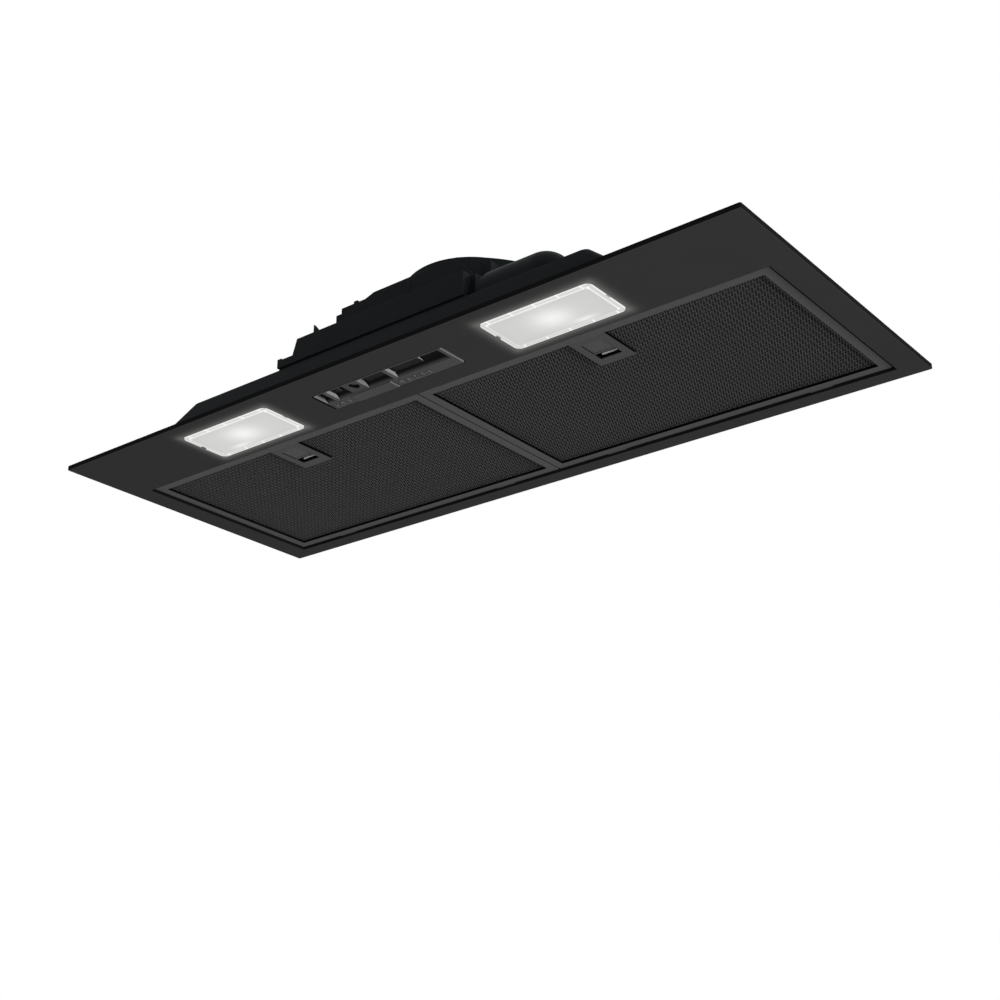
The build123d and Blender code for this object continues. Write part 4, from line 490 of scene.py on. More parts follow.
@dataclass(frozen=True)
class Bloom:
    """A soft patch of light on a lens.

    Attributes:
        light: Its strength in the middle.
        centre: Its place from the lens's centre, in millimetres.
        reach: Distances along x and y over which it falls to a third.
        mirrored: True for one that stands at all four corners.
    """

    light: float
    centre: Pair
    reach: Pair
    mirrored: bool = False

    def add(self, tree: Tree, place: Socket, total: Socket) -> Socket:
        """Adds the patch to a sum of light.

        Args:
            tree: The material's nodes.
            place: Position from the lens's centre, in millimetres.
            total: The light so far.

        Returns:
            The light with the patch.
        """
        if self.mirrored:
            place = add_node(tree, "VectorMath", links={0: place}, operation="ABSOLUTE").outputs[0]
        offset = add_node(
            tree, "VectorMath", {1: (*self.centre, 0.0)}, {0: place}, operation="SUBTRACT"
        )
        scaled = add_node(
            tree, "VectorMath", {1: (*self.reach, 1.0)}, {0: offset.outputs[0]}, operation="DIVIDE"
        )
        squared = add_node(
            tree, "VectorMath", links={0: scaled.outputs[0], 1: scaled.outputs[0]},
            operation="DOT_PRODUCT",
        )
        left = add_node(
            tree, "Math", {0: 1 / math.e}, {1: squared.outputs["Value"]}, operation="POWER"
        )
        return add_node(
            tree, "Math", {1: self.light}, {0: left.outputs[0], 2: total}, operation="MULTIPLY_ADD"
        ).outputs[0]


@dataclass(frozen=True)
class LitLens(Finish):
    """Frosted polycarbonate lens with its lamp on.

    The light is strongest at the cut edges and the webs, which pipe it, and over the board.

    Attributes:
        lens: Where the lenses lie.
        glow: Colour of the light, sRGB hex.
        rings: Distance in from the outer edge in millimetres, and the light there.
        blooms: The soft patches of light.
        web_pitch: Distance between the webs along a long side.
        web_half: Half the width of a web's line of light.
        web_inset: How far in from the edge the webs reach.
        web_light: Light that a web adds.
    """

    lens: LensPlace = LensPlace()
    glow: str = "fdfdfc"
    rings: tuple[Pair, ...] = (
        (0.0, 0.84), (0.6, 0.84), (0.9, 0.62), (3.8, 0.62),
        (4.1, 0.78), (4.6, 0.78), (5.0, 0.56), (14.0, 0.58),
    )
    blooms: tuple[Bloom, ...] = (
        Bloom(0.27, (0.0, 0.0), (16.3, 13.2)),
        Bloom(0.22, (19.5, 15.5), (10.0, 3.0)),
        Bloom(0.35, (46.2, 19.2), (1.1, 1.1), mirrored=True),
    )
    web_pitch: float = 21.375
    web_half: float = 0.55
    web_inset: float = 4.3
    web_light: float = 0.26

    def paint(self, tree: Tree, shader: Node, place: Socket) -> None:
        """Adds the lamp's light to the frosted plastic.

        Args:
            tree: The material's nodes.
            shader: The principled shader.
            place: Position on it, in metres.
        """
        super().paint(tree, shader, place)
        along = self.lens.local(tree, place)
        inset = []
        for distance, half in zip(along, self.lens.half):
            size = add_node(tree, "Math", links={0: distance}, operation="ABSOLUTE")
            depth = add_node(tree, "Math", {0: half}, {1: size.outputs[0]}, operation="SUBTRACT")
            inset.append(depth.outputs[0])
        nearest = add_node(tree, "Math", links={0: inset[0], 1: inset[1]}, operation="MINIMUM")
        deepest = self.rings[-1][0]
        share = add_node(tree, "Math", {1: deepest}, {0: nearest.outputs[0]}, operation="DIVIDE")
        ramp = add_node(tree, "ValToRGB", links={0: share.outputs[0]})
        set_stops(ramp.color_ramp, [(at / deepest, light) for at, light in self.rings])
        total = add_node(tree, "RGBToBW", links={0: ramp.outputs["Color"]}).outputs[0]
        total = self.add_webs(tree, along[0], inset[1], total)
        middle = add_node(tree, "CombineXYZ", links={0: along[0], 1: along[1]}).outputs[0]
        for bloom in self.blooms:
            total = bloom.add(tree, middle, total)
        self.light_up(tree, shader, self.glow, total)

    def add_webs(
        self, tree: Tree, along: Socket, inset: Socket, total: Socket
    ) -> Socket:
        """Adds the lines of light that the webs pipe across the groove.

        Args:
            tree: The material's nodes.
            along: Distance along the lens from its centre, in millimetres.
            inset: Distance in from the nearer long side, in millimetres.
            total: The light so far.

        Returns:
            The light with the webs.
        """
        span = self.web_pitch / 2
        off = add_node(tree, "Math", {1: span}, {0: along}, operation="PINGPONG")
        line, near = (
            add_node(tree, "Math", {1: limit}, {0: distance}, operation="LESS_THAN").outputs[0]
            for limit, distance in ((self.web_half, off.outputs[0]), (self.web_inset, inset))
        )
        both = add_node(tree, "Math", links={0: line, 1: near}, operation="MULTIPLY").outputs[0]
        return add_node(
            tree, "Math", {1: self.web_light}, {0: both, 2: total}, operation="MULTIPLY_ADD"
        ).outputs[0]


# Sprayed powder fused in an oven: dead matt and a soft orange peel, with thin painted highlights on
# the edges and where it bends, and painted shade on upright faces. The peel is about 0.6 mm on the
# real sheet and is drawn at 1.4 mm so that it shows.
POWDER_COAT = LampLitCoat(
    "powder_coated_steel", "343435", "373738", (0.54, 0.66), Grain.SPRAYED, 1.4, 0.012,
    specular=0.005, edge="4a4a4b", edge_mm=0.4, upright=0.1,
)
# Roller-painted pressed sheet: smoother and bluer than the powder coat, with faint press marks and
# painted highlights on the edges.
PAINTED_SHEET = Finish(
    "painted_pressed_steel", "121517", "151819", (0.42, 0.56), Grain.PRESSED, 9.0, 0.02,
    specular=0.02, edge="2b3033", edge_mm=0.5,
)
# Moulded ABS from a spark-eroded tool: a fine pebble, drawn at 1.6 mm, and soft painted highlights
# on the edges.
MOULDED_ABS = Finish(
    "moulded_abs", "121517", "151819", (0.4, 0.52), Grain.MOULDED, 1.6, 0.012,
    specular=0.02, edge="2b3033", edge_mm=0.5,
)
# Satin ABS of the controls: a little lighter than the body as painted light, since its faces catch
# the room, with painted highlights on the edges and on faces along x, and painted shade down in the
# channel.
CONTROL_ABS = Finish(
    "satin_abs", "404041", "444445", (0.34, 0.44), Grain.MOULDED, 1.0, 0.008,
    specular=0.06, edge="585858", edge_mm=0.3, recess=(-3.9, -1.9),
    side_highlight="707070", highlight_gap=(-29.3, 7.6),
)
# Ribbed knobs of the sliders: the same plastic, with painted highlights on the edges and on faces
# along x, and painted shade down in the channel.
KNOB_ABS = Finish(
    "knob_abs_painted_highlights", "484849", "4c4c4d", (0.3, 0.4), Grain.MOULDED, 1.0, 0.006,
    specular=0.08, edge="606060", edge_mm=0.3, recess=(-3.9, -2.6), side_highlight="808080",
)
# Smoked acrylic over the pilot: black and wet looking until lit.
SMOKED_ACRYLIC = Finish(
    "smoked_acrylic", "070606", "0a0808", (0.12, 0.2), Grain.PRESSED, 12.0, 0.002, specular=0.2,
)
# Rolled frame sheet, black anodised: matt with a faint run along the roll, painted highlights on
# the edges and where it bends, and painted shade on upright faces.
ANODISED_FRAME = Finish(
    "black_anodised_aluminium", "464647", "4a4a4b", (0.38, 0.48), Grain.BRUSHED, 0.9, 0.004,
    specular=0.06, edge="565656", edge_mm=0.4, upright=0.1,
)
# Slit and stretched foil, black anodised: every strand turns a facet to the light, with painted
# shade on the facets turned away.
EXPANDED_FOIL = FacetedFoil(
    "black_expanded_aluminium", "434344", "484849", (0.34, 0.44), Grain.PRESSED, 4.0, 0.002,
    specular=0.06,
)
# The imported layers behind the front sheet, and the hem round the latch: painted near black as
# shade, since no light gets back out.
FOIL_PACK_SHADE = Finish(
    "packed_foil_painted_shade", "030303", "050505", (0.7, 0.85), Grain.MOULDED, 2.4, 0.2, specular=0.03,
)
# Moulded nylon of the latches: satin, sharp edged, with painted highlights on the edges and where
# it bends, and painted shade on upright faces and down in its hollows.
LATCH_NYLON = Finish(
    "moulded_nylon", "404041", "444545", (0.36, 0.46), Grain.MOULDED, 1.2, 0.008,
    specular=0.06, edge="505050", edge_mm=0.3, upright=0.1, recess=(-1.5, -0.9),
)
# The latch buttons: the same nylon a little glossier, with brighter painted highlights on the edges
# so its dots catch the light, and painted shade down in its hollows.
BUTTON_NYLON = Finish(
    "button_nylon_painted_highlights", "424243", "464747", (0.3, 0.4), Grain.MOULDED, 1.2, 0.006,
    specular=0.1, edge="6a6a6a", edge_mm=0.3, recess=(-1.5, -0.9),
)
# Glossy white acetal pad deep in each finger slot: a short white line there, a painted glint.
GLINT_ACETAL = Finish(
    "white_acetal_painted_glint", "e6e6e2", "eeeeea", (0.24, 0.34), Grain.MOULDED, 1.0, 0.004, specular=0.4,
)
# Frosted polycarbonate, lamp on behind it: a soft white sheet with brighter cut edges.
FROSTED_LENS = LitLens(
    "frosted_polycarbonate", "303030", "343433", (0.36, 0.46), Grain.SPRAYED, 1.2, 0.01,
    specular=0.4,
)
# Matt white reflector moulding.
WHITE_POLYPROPYLENE = Finish(
    "white_polypropylene", "d6d5cf", "dddcd7", (0.5, 0.62), Grain.MOULDED, 1.4, 0.015, specular=0.4,
)
# Solder-masked aluminium board.
LAMP_BOARD = Finish(
    "white_lamp_board", "d9d7c8", "e2e0d2", (0.4, 0.5), Grain.PRESSED, 5.0, 0.004, specular=0.45,
)
# Fan wheel in talc-filled polypropylene: greyer and duller than the housing, with painted
# highlights on the edges.
WHEEL_POLYPROPYLENE = Finish(
    "filled_polypropylene", "333536", "3b3d3e", (0.5, 0.64), Grain.MOULDED, 1.8, 0.02,
    specular=0.3, edge="55585a", edge_mm=0.5,
)
# Ground shaft: bright, with fine lines.
GROUND_STEEL = Finish(
    "ground_steel", "b4b4b2", "c2c2c0", (0.22, 0.34), Grain.BRUSHED, 0.6, 0.004, metallic=1.0,
)
# Dipped motor can: grey lacquer over rolled steel, with painted highlights on the edges.
LACQUERED_STEEL = Finish(
    "lacquered_steel", "8d8e90", "999a9c", (0.34, 0.46), Grain.PRESSED, 6.0, 0.02,
    edge="b4b5b7", edge_mm=0.5,
)
# Black zinc on screws: dark metal with a brown cast and bright painted highlights on the edges.
BLACK_ZINC = Finish(
    "black_zinc_steel", "4b4a49", "585553", (0.32, 0.46), Grain.PRESSED, 1.6, 0.01,
    metallic=1.0, edge="9a9a9a", edge_mm=0.2,
)
# Zinc-plated spring steel: pale, with the cloudy spangle of the bath and painted highlights on the
# edges.
ZINC_STEEL = Finish(
    "zinc_plated_steel", "a3a6a8", "b7babb", (0.28, 0.44), Grain.PRESSED, 3.0, 0.008,
    metallic=1.0, edge="d0d2d3", edge_mm=0.3,
)
# Grey terminal nylon.
GREY_NYLON = Finish(
    "grey_nylon", "9b9b9a", "a6a6a4", (0.46, 0.58), Grain.MOULDED, 1.2, 0.012, specular=0.45,
)
# Capacitor can, plain white plastic.
CAN_PLASTIC = Finish(
    "white_can_plastic", "d4d4cd", "dcdcd6", (0.36, 0.46), Grain.MOULDED, 1.4, 0.01, specular=0.45,
)


def dress(names: Iterable[str], finish: Finish) -> None:
    """Gives CAD nodes a finish.

    Args:
        names: The nodes.
        finish: What they are made of.
    """
    for name in names:
        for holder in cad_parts[name].material_slots:
            holder.link = "OBJECT"
            holder.material = finish.material()


def add_piece(
    name: str,
    mesh: Mesh,
    finish: Finish,
    body: str,
    at: Point = (0.0, 0.0, 0.0),
) -> bpy.types.Object:
    """Puts a mesh on a body.

    Args:
        name: The piece's name.
        mesh: Its mesh, in metres about at.
        finish: What it is made of.
        body: The body that carries it.
        at: Where the mesh's origin goes, in millimetres.

    Returns:
        The new piece.
    """
    if not mesh.materials:
        mesh.materials.append(finish.material())
    piece = bpy.data.objects.new(name, mesh)
    piece.location = Vector(at) * MM
    bpy.context.scene.collection.objects.link(piece)
    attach(piece, body)
    LOG.info("%s on %s, %d faces", name, body, len(mesh.polygons))
    return piece


def as_mesh(name: str, shape: Shape) -> Mesh:
    """Turns a finished bmesh in millimetres into a mesh in metres.

    Args:
        name: The mesh's name.
        shape: The shape, which is freed.

    Returns:
        The mesh.
    """
    bmesh.ops.scale(shape, vec=(MM, MM, MM), verts=shape.verts)
    bmesh.ops.recalc_face_normals(shape, faces=shape.faces)
    mesh = bpy.data.meshes.new(name)
    shape.to_mesh(mesh)
    shape.free()
    return mesh


def raise_outline(shape: Shape, outline: Outline, low: float, high: float) -> None:
    """Adds a flat outline raised between two levels.

    Args:
        shape: The bmesh that gets it.
        outline: Corners in x and y, in order.
        low: Lower level.
        high: Upper level.
    """
    levels = [[shape.verts.new((x, y, z)) for x, y in outline] for z in (low, high)]
    shape.faces.new(levels[0])
    shape.faces.new(levels[1])
    for at, corner in enumerate(levels[0]):
        after = (at + 1) % len(outline)
        shape.faces.new((corner, levels[0][after], levels[1][after], levels[1][at]))


@dataclass
class Fascia:
    """The folded plate with its two lamps."""

    def build(self) -> None:
        """Dresses the plate, lenses, lamp trays and boards."""
        dress(["fascia_plate"], POWDER_COAT)
        for side in Side:
            dress([side.node("lamp_lens")], FROSTED_LENS)
            dress([side.node("lamp_housing")], WHITE_POLYPROPYLENE)
            dress([side.node("led_module")], LAMP_BOARD)


@dataclass(frozen=True)
class SheetLevels:
    """Levels of an expanded sheet's strands.

    Attributes:
        crown: Outer line of the strands.
        back: Their line against the pack.
        edges: An opening's front and rear corner.
    """

    crown: float
    back: float
    edges: Pair


@dataclass
class GreaseFilter:
    """One filter: frame, packed foil between two expanded sheets, and its latch.

    Attributes:
        side: Which end it hangs at.
        centre_x: Middle of the window and the latch, without its sign.
        window: Lowest and highest y of the window.
        half_width: Half the window's width.
        latch_half: Half the width of the latch housing's flange.
        latch_rear: Rear edge of that flange.
        flange: How far the flange reaches past the housing's wall.
        mesh_gap: Room between the flange's outline and the foil pack.
        hem: Lower and upper level of the foil hem that closes the pack round the housing.
        diamond: Size of one mesh opening along x and y.
        opening: Share of a diamond that is open in the open rows.
        between: The same in the rows between, by turns, where the layer behind closes them.
        front: Levels of the sheet that faces the cook.
        rear: Levels of the sheet that faces the fan.
        pad_half: Half the length of the white pad that paints the glint in the finger slot.
        pad_y: Front and rear of the pad.
        pad_z: Lower and upper edge of the pad.
        pad_round: Rounding of the pad's edges.
        press: How much shorter the spring would get when the button is pulled back; not used.
    """

    side: Side
    centre_x: float = 162.75
    window: Pair = (-59.0, 120.5)
    half_width: float = 154.25
    latch_half: float = 16.75
    latch_rear: float = -15.0
    flange: float = 3.5
    mesh_gap: float = 0.3
    hem: Pair = (0.36, 5.1)
    diamond: Pair = (2.34, 4.86)
    opening: float = 0.75
    between: Pair = (0.36, 0.75)
    front: SheetLevels = SheetLevels(0.1, 0.34, (0.28, 0.16))
    rear: SheetLevels = SheetLevels(5.75, 5.22, (5.45, 5.5))
    pad_half: float = 7.2
    pad_y: Pair = (-27.2, -26.95)
    pad_z: Pair = (-0.3, 1.15)
    pad_round: float = 0.08
    press: float = 6.1

    def build(self) -> None:
        """Dresses the filter and adds its spring, sheets, hem and pad."""
        for stem, finish in (
            ("filter_frame", ANODISED_FRAME), ("filter_mesh", FOIL_PACK_SHADE),
            ("latch_housing", LATCH_NYLON), ("latch_button", BUTTON_NYLON),
        ):
            dress([self.side.node(stem)], finish)
        self.add_spring()
        middle = (self.side.value * self.centre_x, 0.0, 0.0)
        front, rear = (partial(self.sheet_mesh, face=face) for face in (self.front, self.rear))
        for name, make, finish, slot in (
            ("expanded_sheet", front, EXPANDED_FOIL, "filter_mesh"),
            ("rear_sheet", rear, EXPANDED_FOIL, "filter_mesh"),
            ("latch_hem", self.hem_mesh, FOIL_PACK_SHADE, "filter_mesh"),
            ("glint_pad", self.pad_mesh, GLINT_ACETAL, "bright_steel"),
        ):
            mesh = bpy.data.meshes.get(name) or make(name)
            add_piece(self.side.node(name), mesh, finish, self.side.node("filter"), middle)

    def add_spring(self) -> None:
        """Adds the folded strip spring, which the button presses against the rear of its bay."""
        node = self.side.node("latch_spring")
        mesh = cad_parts[node].data.copy()
        mesh.materials.clear()
        name, body = self.side.node("strip_spring"), self.side.node("filter")
        spring = add_piece(name, mesh, ZINC_STEEL, body)
        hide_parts(node)
        f"{self.side.node('latch')}_slide"
        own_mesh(spring)

    def sheet_mesh(self, name: str, face: SheetLevels) -> Mesh:
        """Makes an expanded sheet as closed strands, cut to the window and round the latch.

        Args:
            name: The mesh's name.
            face: The levels of its strands.

        Returns:
            The mesh about the window's middle line.
        """
        half_long, half_short = (size / 2 for size in self.diamond)
        low, high = self.window
        across = math.ceil(self.half_width / half_long) + 1
        along = range(math.floor(low / half_short) - 1, math.ceil(high / half_short) + 2)
        shape = bmesh.new()
        fronts: dict[tuple[int, int], bmesh.types.BMVert] = {}
        backs: dict[tuple[int, int], bmesh.types.BMVert] = {}
        corners = ((1, 0), (0, 1), (-1, 0), (0, -1))
        middle = sum(face.edges) / 2
        levels = (middle, face.edges[1], middle, face.edges[0])
        for column in range(-across, across + 1):
            for row in along:
                if (column + row) % 2:
                    continue
                x, y = column * half_long, row * half_short
                reach = self.between[column // 2 % 2] if row % 2 else self.opening
                outer, rear, inner = [], [], []
                for (dx, dy), level in zip(corners, levels):
                    key = (column + dx, row + dy)
                    point = (x + dx * half_long, y + dy * half_short)
                    if key not in fronts:
                        fronts[key] = shape.verts.new((*point, face.crown))
                        backs[key] = shape.verts.new((*point, face.back))
                    outer.append(fronts[key])
                    rear.append(backs[key])
                    hole = (x + dx * half_long * reach, y + dy * half_short * reach)
                    inner.append(shape.verts.new((*hole, level)))
                for at in range(len(corners)):
                    after = (at + 1) % len(corners)
                    shape.faces.new((outer[at], outer[after], inner[after], inner[at]))
                    shape.faces.new((rear[after], rear[at], inner[at], inner[after]))
        self.trim_sheet(shape)
        return as_mesh(name, shape)

    def trim_sheet(self, shape: Shape) -> None:
        """Cuts the sheet to the window and takes out the latch's corner.

        Args:
            shape: The sheet, larger than the window.
        """
        low, high = self.window
        left, right, front, rear = (-1, 0, 0), (1, 0, 0), (0, -1, 0), (0, 1, 0)
        for way, reach in (
            (right, self.half_width), (left, self.half_width), (front, -low), (rear, high),
        ):
            everything = [*shape.verts, *shape.edges, *shape.faces]
            bmesh.ops.bisect_plane(
                shape, geom=everything, plane_co=Vector(way) * reach, plane_no=way, clear_outer=True
            )
        for way, reach in (
            (right, self.latch_half), (left, self.latch_half), (rear, self.latch_rear),
        ):
            near = self.faces_by_latch(shape, max(self.diamond))
            edges = {edge for face in near for edge in face.edges}
            verts = {vert for face in near for vert in face.verts}
            bmesh.ops.bisect_plane(
                shape, geom=[*verts, *edges, *near], plane_co=Vector(way) * reach, plane_no=way
            )
        bmesh.ops.delete(shape, geom=self.faces_by_latch(shape, 0.0), context="FACES")
        bmesh.ops.holes_fill(shape, edges=[e for e in shape.edges if e.is_boundary], sides=0)

    def faces_by_latch(self, shape: Shape, margin: float) -> list[bmesh.types.BMFace]:
        """Picks the faces whose middle lies over the latch or within a margin of it."""
        middles = ((face, face.calc_center_median()) for face in shape.faces)
        return [
            face for face, middle in middles
            if abs(middle.x) < self.latch_half + margin and middle.y < self.latch_rear + margin
        ]

    def hem_mesh(self, name: str) -> Mesh:
        """Makes the folded foil that closes the pack under the latch's flange.

        Args:
            name: The mesh's name.

        Returns:
            The mesh about the latch's middle line.
        """
        shape = bmesh.new()
        front = self.window[0]
        wall, wall_rear = self.latch_half - self.flange, self.latch_rear - self.flange
        edge, edge_rear = self.latch_half + self.mesh_gap, self.latch_rear + self.mesh_gap
        outline = (
            (-edge, front), (-wall, front), (-wall, wall_rear), (wall, wall_rear),
            (wall, front), (edge, front), (edge, edge_rear), (-edge, edge_rear),
        )
        raise_outline(shape, outline, *self.hem)
        return as_mesh(name, shape)

    def pad_mesh(self, name: str) -> Mesh:
        """Makes the white pad that paints the glint deep in the finger slot.

        Args:
            name: The mesh's name.

        Returns:
            The mesh about the latch's middle line.
        """
        shape = bmesh.new()
        (front, rear), half = self.pad_y, self.pad_half
        outline = ((-half, front), (half, front), (half, rear), (-half, rear))
        raise_outline(shape, outline, *self.pad_z)
        bmesh.ops.bevel(
            shape, geom=shape.edges[:], offset=self.pad_round, segments=2, profile=0.5,
            affect="EDGES",
        )
        return as_mesh(name, shape)


@dataclass
class ControlPanel:
    """The scooped control bezel with its sliders, pilot and raised marks.

    Attributes:
        strip_z: Level of the legend strip's face.
        relief: Height of the marks.
        rooted: How deep the signs go into the strip.
        marks_y: Middle line of the marks.
        figure: Height of a numeral.
        numerals: Each numeral and its place along x.
        lamp_x: Place of the lamp sign.
        bulb: Radius of its bulb, and how far the bulb's middle stands to the front.
        cap: Half the width of its cap and its place to the rear, at each end.
        ray: Where a ray starts and ends from the bulb's middle, and half its width.
        fan_x: Place of the fan sign.
        hub: Radius of its hub.
        blade: Radius at which a blade starts, and its length.
        sweeps: Start, sweep and bend of a blade's leading and trailing edge.
    """

    strip_z: float = -4.2
    relief: float = 0.6
    rooted: float = 0.05
    marks_y: float = -94.6
    figure: float = 5.0
    numerals: tuple[tuple[str, float], ...] = (
        ("0", -57.0), ("1", -49.0), ("0", 7.5), ("1", 15.1), ("2", 22.0), ("3", 29.2),
    )
    lamp_x: float = -64.0
    bulb: Pair = (1.5, 0.3)
    cap: tuple[Pair, Pair] = ((0.8, 1.35), (0.6, 2.2))
    ray: Point = (2.0, 2.9, 0.22)
    fan_x: float = 35.9
    hub: float = 0.5
    blade: Pair = (0.7, 1.7)
    sweeps: tuple[Point, Point] = ((0.0, 0.9, 1.5), (0.35, 1.25, 0.7))

    def build(self) -> None:
        """Dresses the controls and adds their marks."""
        dress(["control_bezel"], CONTROL_ABS)
        dress(["light_slider", "speed_slider"], KNOB_ABS)
        dress(["pilot_lens"], SMOKED_ACRYLIC)
        dress(["switch_block"], GREY_NYLON)
        marks = [
            (f"numeral_{at}", self.numeral_mesh(figure, x))
            for at, (figure, x) in enumerate(self.numerals)
        ]
        for name, outlines in (
            ("lamp_sign", self.lamp_outlines()), ("fan_sign", self.fan_outlines()),
        ):
            marks.append((name, self.sign_mesh(name, outlines)))
        for name, mesh in marks:
            add_piece(name, mesh, CONTROL_ABS, "hood")

    def numeral_mesh(self, figure: str, x: float) -> Mesh:
        """Makes a raised numeral that reads from below and in front.

        Args:
            figure: The numeral.
            x: Its middle.

        Returns:
            The mesh in the row frame.
        """
        text = bpy.data.curves.new(f"figure_{figure}", "FONT")
        text.body = figure
        text.size = self.figure * TEXT_OVER_FIGURE * MM
        text.align_x = "CENTER"
        text.align_y = "CENTER"
        text.extrude = self.relief / 2 * MM
        text.resolution_u = TEXT_STEPS
        holder = bpy.data.objects.new(f"figure_{figure}", text)
        bpy.context.scene.collection.objects.link(holder)
        graph = bpy.context.evaluated_depsgraph_get()
        mesh = bpy.data.meshes.new_from_object(holder.evaluated_get(graph))
        mesh.materials.clear()
        bpy.data.objects.remove(holder)
        bpy.data.curves.remove(text)
        place = Vector((x, self.marks_y, self.strip_z - self.relief / 2)) * MM
        mesh.transform(Matrix.Translation(place) @ Matrix.Rotation(math.pi, 4, "X"))
        return mesh

    def sign_mesh(self, name: str, outlines: Iterable[Outline]) -> Mesh:
        """Makes a raised sign.

        Args:
            name: The mesh's name.
            outlines: The outlines of its parts.

        Returns:
            The mesh in the row frame.
        """
        shape = bmesh.new()
        for outline in outlines:
            raise_outline(shape, outline, self.strip_z - self.relief, self.strip_z + self.rooted)
        return as_mesh(name, shape)

    def lamp_outlines(self) -> list[Outline]:
        """Draws the lamp sign.

        Returns:
            The outlines of its bulb, its cap and three rays.
        """
        arc_degrees, ray_degrees = range(-150, 151, 15), (-60, 0, 60)
        x, y = self.lamp_x, self.marks_y
        radius, lift = self.bulb
        base = y - lift
        bulb = [
            (x + radius * math.sin(turn), base - radius * math.cos(turn))
            for turn in map(math.radians, arc_degrees)
        ]
        (wide, near), (slim, far) = self.cap
        cap = [(x - wide, y + near), (x + wide, y + near), (x + slim, y + far), (x - slim, y + far)]
        rays = []
        start, end, half = self.ray
        for turn in map(math.radians, ray_degrees):
            out = Vector((math.sin(turn), -math.cos(turn)))
            side = Vector((-out.y, out.x)) * half
            corners = ((start, side), (start, -side), (end, -side), (end, side))
            ends = [Vector((x, base)) + out * length + offset for length, offset in corners]
            rays.append([(point.x, point.y) for point in ends])
        return [bulb, cap, *rays]

    def fan_outlines(self) -> list[Outline]:
        """Draws the fan sign.

        Returns:
            The outlines of its hub and three swept blades.
        """
        corners, blades, steps = 12, 3, 6
        polar = [[(self.hub, at * math.tau / corners) for at in range(corners)]]
        shares = [step / steps for step in range(steps + 1)]
        root, length = self.blade
        for turn in (at * math.tau / blades for at in range(blades)):
            lead, trail = (
                [(root + length * s, turn + start + sweep * s ** bend) for s in shares]
                for start, sweep, bend in self.sweeps
            )
            polar.append(lead + trail[::-1])
        x, y = self.fan_x, self.marks_y
        return [[(x + r * math.cos(t), y + r * math.sin(t)) for r, t in line] for line in polar]


@dataclass
class FanUnit:
    """The fan drum, its wheel and motor, the outlet and the electrics."""

    def build(self) -> None:
        """Dresses the fan unit."""
        dress(["air_chamber"], PAINTED_SHEET)
        dress(
            [
                "front_housing", "fan_base", "fan_housing", "inlet_ring", "outlet_collar",
                "damper_flap_front", "damper_flap_rear", "electrics_box", "cable_gland",
            ],
            MOULDED_ABS,
        )
        dress(["impeller"], WHEEL_POLYPROPYLENE)
        dress(["motor_shaft"], GROUND_STEEL)
        dress(["motor"], LACQUERED_STEEL)
        dress(["motor_bracket"], ZINC_STEEL)
        dress(["capacitor"], CAN_PLASTIC)
        dress(["terminal_block"], GREY_NYLON)
        dress(["drum_screws", "collar_screws", "bracket_screws"], BLACK_ZINC)


@dataclass
class SideFixings:
    """The sprung catches that hold the hood in its cut-out."""

    def build(self) -> None:
        """Dresses the catches and their brackets."""
        for side in Side:
            dress([side.node("side_catch"), side.node("catch_bracket")], ZINC_STEEL)


@dataclass
class AreaLamp:
    """One soft studio lamp.

    Attributes:
        name: What it does.
        place: Where it hangs, in metres.
        target: Where it points, in metres.
        size: Side of its square, in metres.
        power: Watts.
        spread: Angle of its beam in degrees, 180 for none.
    """

    name: str
    place: Point
    target: Point
    size: float
    power: float
    spread: float = 180.0

    def build(self) -> None:
        """Hangs the lamp."""
        data = bpy.data.lights.new(self.name, "AREA")
        data.size = self.size
        data.energy = self.power
        data.spread = math.radians(self.spread)
        lamp = bpy.data.objects.new(self.name, data)
        lamp.location = self.place
        aim = Vector(self.target) - Vector(self.place)
        lamp.rotation_euler = aim.to_track_quat("-Z", "Y").to_euler()
        bpy.context.scene.collection.objects.link(lamp)


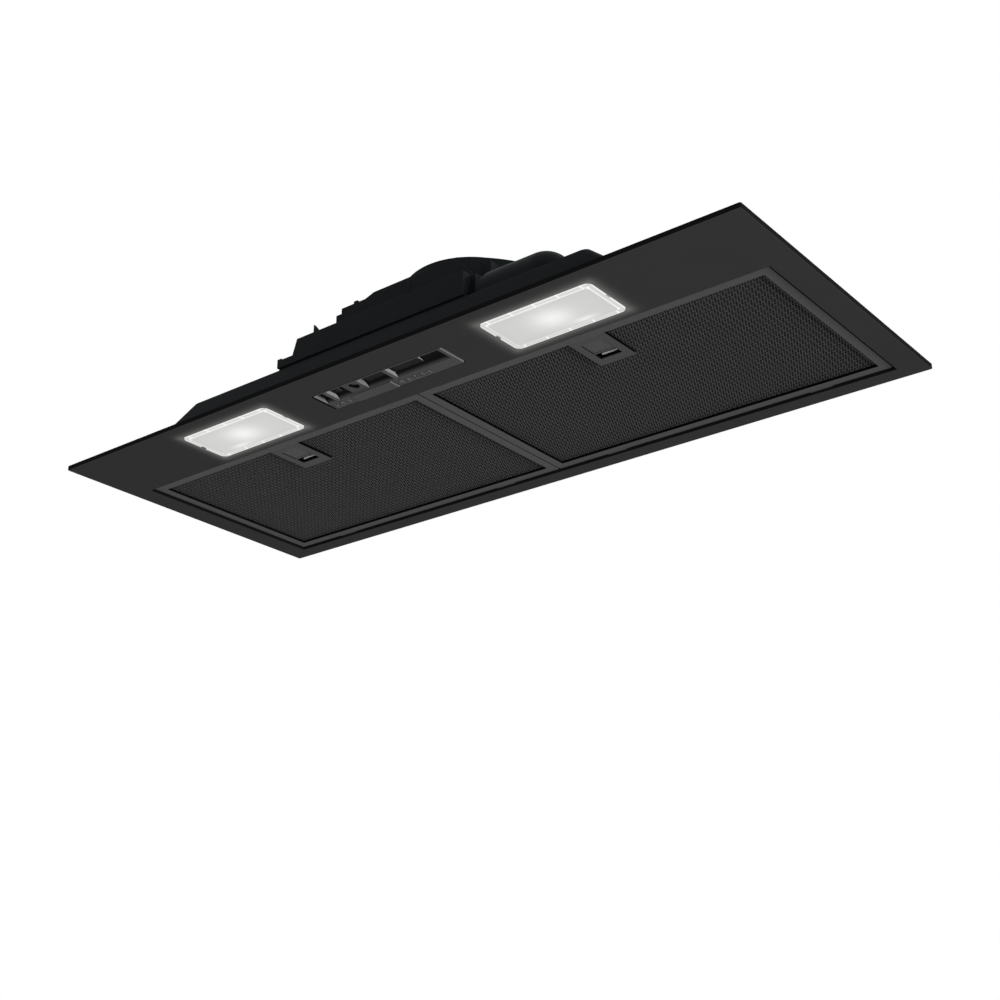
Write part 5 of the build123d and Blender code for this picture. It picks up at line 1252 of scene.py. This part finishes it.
@dataclass
class Studio:
    """White surroundings, soft lamps, a pale floor and the camera.

    Attributes:
        focal: Focal length on a sensor of sensor mm.
        sensor: Sensor width.
        clip: Nearest and farthest that it sees, in metres.
        eye: Camera place, in metres.
        right: Camera's right.
        up: Camera's up.
        floor_z: Level of the floor, in metres.
        floor_half: Half its side, in metres.
        floor_colour: Its colour, sRGB hex.
        ambient: Strength of the room's plain light.
        lamps: The soft lamps.
    """

    focal: float = 57.25
    sensor: float = 36.0
    clip: Pair = (0.02, 60.0)
    eye: Point = (0.77844, -0.93849, -0.57389)
    right: Point = (0.78344, 0.62147, 0.00168)
    up: Point = (0.23453, -0.29816, 0.92525)
    floor_z: float = -1.6
    floor_half: float = 12.0
    floor_colour: str = "e9e9e7"
    ambient: float = 0.65
    lamps: tuple[AreaLamp, ...] = (
        AreaLamp("low_right", (2.3, -0.4, -0.55), (0.0, -0.05, 0.0), 0.7, 2.6, spread=34.0),
        AreaLamp("high_left", (-1.6, -1.2, 1.9), (0.0, 0.0, 0.05), 1.8, 3.0),
        AreaLamp("high_rear", (1.0, 1.9, 1.7), (0.0, 0.0, 0.05), 1.6, 9.0),
    )

    def build(self) -> None:
        """Sets up the whole studio."""
        self.build_camera()
        self.build_world()
        self.build_floor()
        for lamp in self.lamps:
            lamp.build()
        bpy.context.scene.view_settings.view_transform = "Standard"

    def build_camera(self) -> None:
        """Puts the camera at the viewing angle."""
        data = bpy.data.cameras.new("camera")
        data.sensor_width = self.sensor
        data.lens = self.focal
        data.clip_start, data.clip_end = self.clip
        camera = bpy.data.objects.new("camera", data)
        right, up = Vector(self.right).normalized(), Vector(self.up).normalized()
        turn = Matrix((right, up, right.cross(up))).transposed().to_4x4()
        camera.matrix_world = Matrix.Translation(self.eye) @ turn
        bpy.context.scene.collection.objects.link(camera)
        bpy.context.scene.camera = camera

    def build_world(self) -> None:
        """Makes the surroundings white to look at and plain to be lit by."""
        world = bpy.data.worlds.new("studio")
        world.use_nodes = True
        tree = world.node_tree
        tree.nodes.clear()
        path = add_node(tree, "LightPath")
        looks = path.outputs["Is Camera Ray"]
        for name in ("Is Glossy Ray", "Is Transmission Ray"):
            looks = add_node(
                tree, "Math", links={0: looks, 1: path.outputs[name]}, operation="MAXIMUM"
            ).outputs[0]
        strength = add_node(tree, "MapRange", {"To Min": self.ambient}, {"Value": looks})
        sky = add_node(
            tree, "Background", {"Color": linear("ffffff")}, {"Strength": strength.outputs[0]}
        )
        add_node(tree, "OutputWorld", links={"Surface": sky.outputs["Background"]})
        bpy.context.scene.world = world

    def build_floor(self) -> None:
        """Lays the pale floor."""
        shape = bmesh.new()
        half = self.floor_half
        corners = ((-half, -half), (half, -half), (half, half), (-half, half))
        shape.faces.new([shape.verts.new((x, y, self.floor_z)) for x, y in corners])
        mesh = bpy.data.meshes.new("floor")
        shape.to_mesh(mesh)
        shape.free()
        material = bpy.data.materials.new("pale_floor_paper")
        material.use_nodes = True
        tree = material.node_tree
        tree.nodes.clear()
        paper = add_node(tree, "BsdfDiffuse", {"Color": linear(self.floor_colour)})
        add_node(tree, "OutputMaterial", links={"Surface": paper.outputs["BSDF"]})
        mesh.materials.append(material)
        floor = bpy.data.objects.new("floor", mesh)
        bpy.context.scene.collection.objects.link(floor)


def main() -> None:
    """Builds the studio and every sub-assembly in order."""
    logging.basicConfig(level=logging.INFO, format="%(message)s")
    assemblies = (
        Studio(),
        Fascia(),
        GreaseFilter(Side.LEFT),
        GreaseFilter(Side.RIGHT),
        ControlPanel(),
        FanUnit(),
        SideFixings(),
    )
    for assembly in assemblies:
        assembly.build()
        LOG.info("built %s", type(assembly).__name__)


if __name__ == "__main__":
    main()
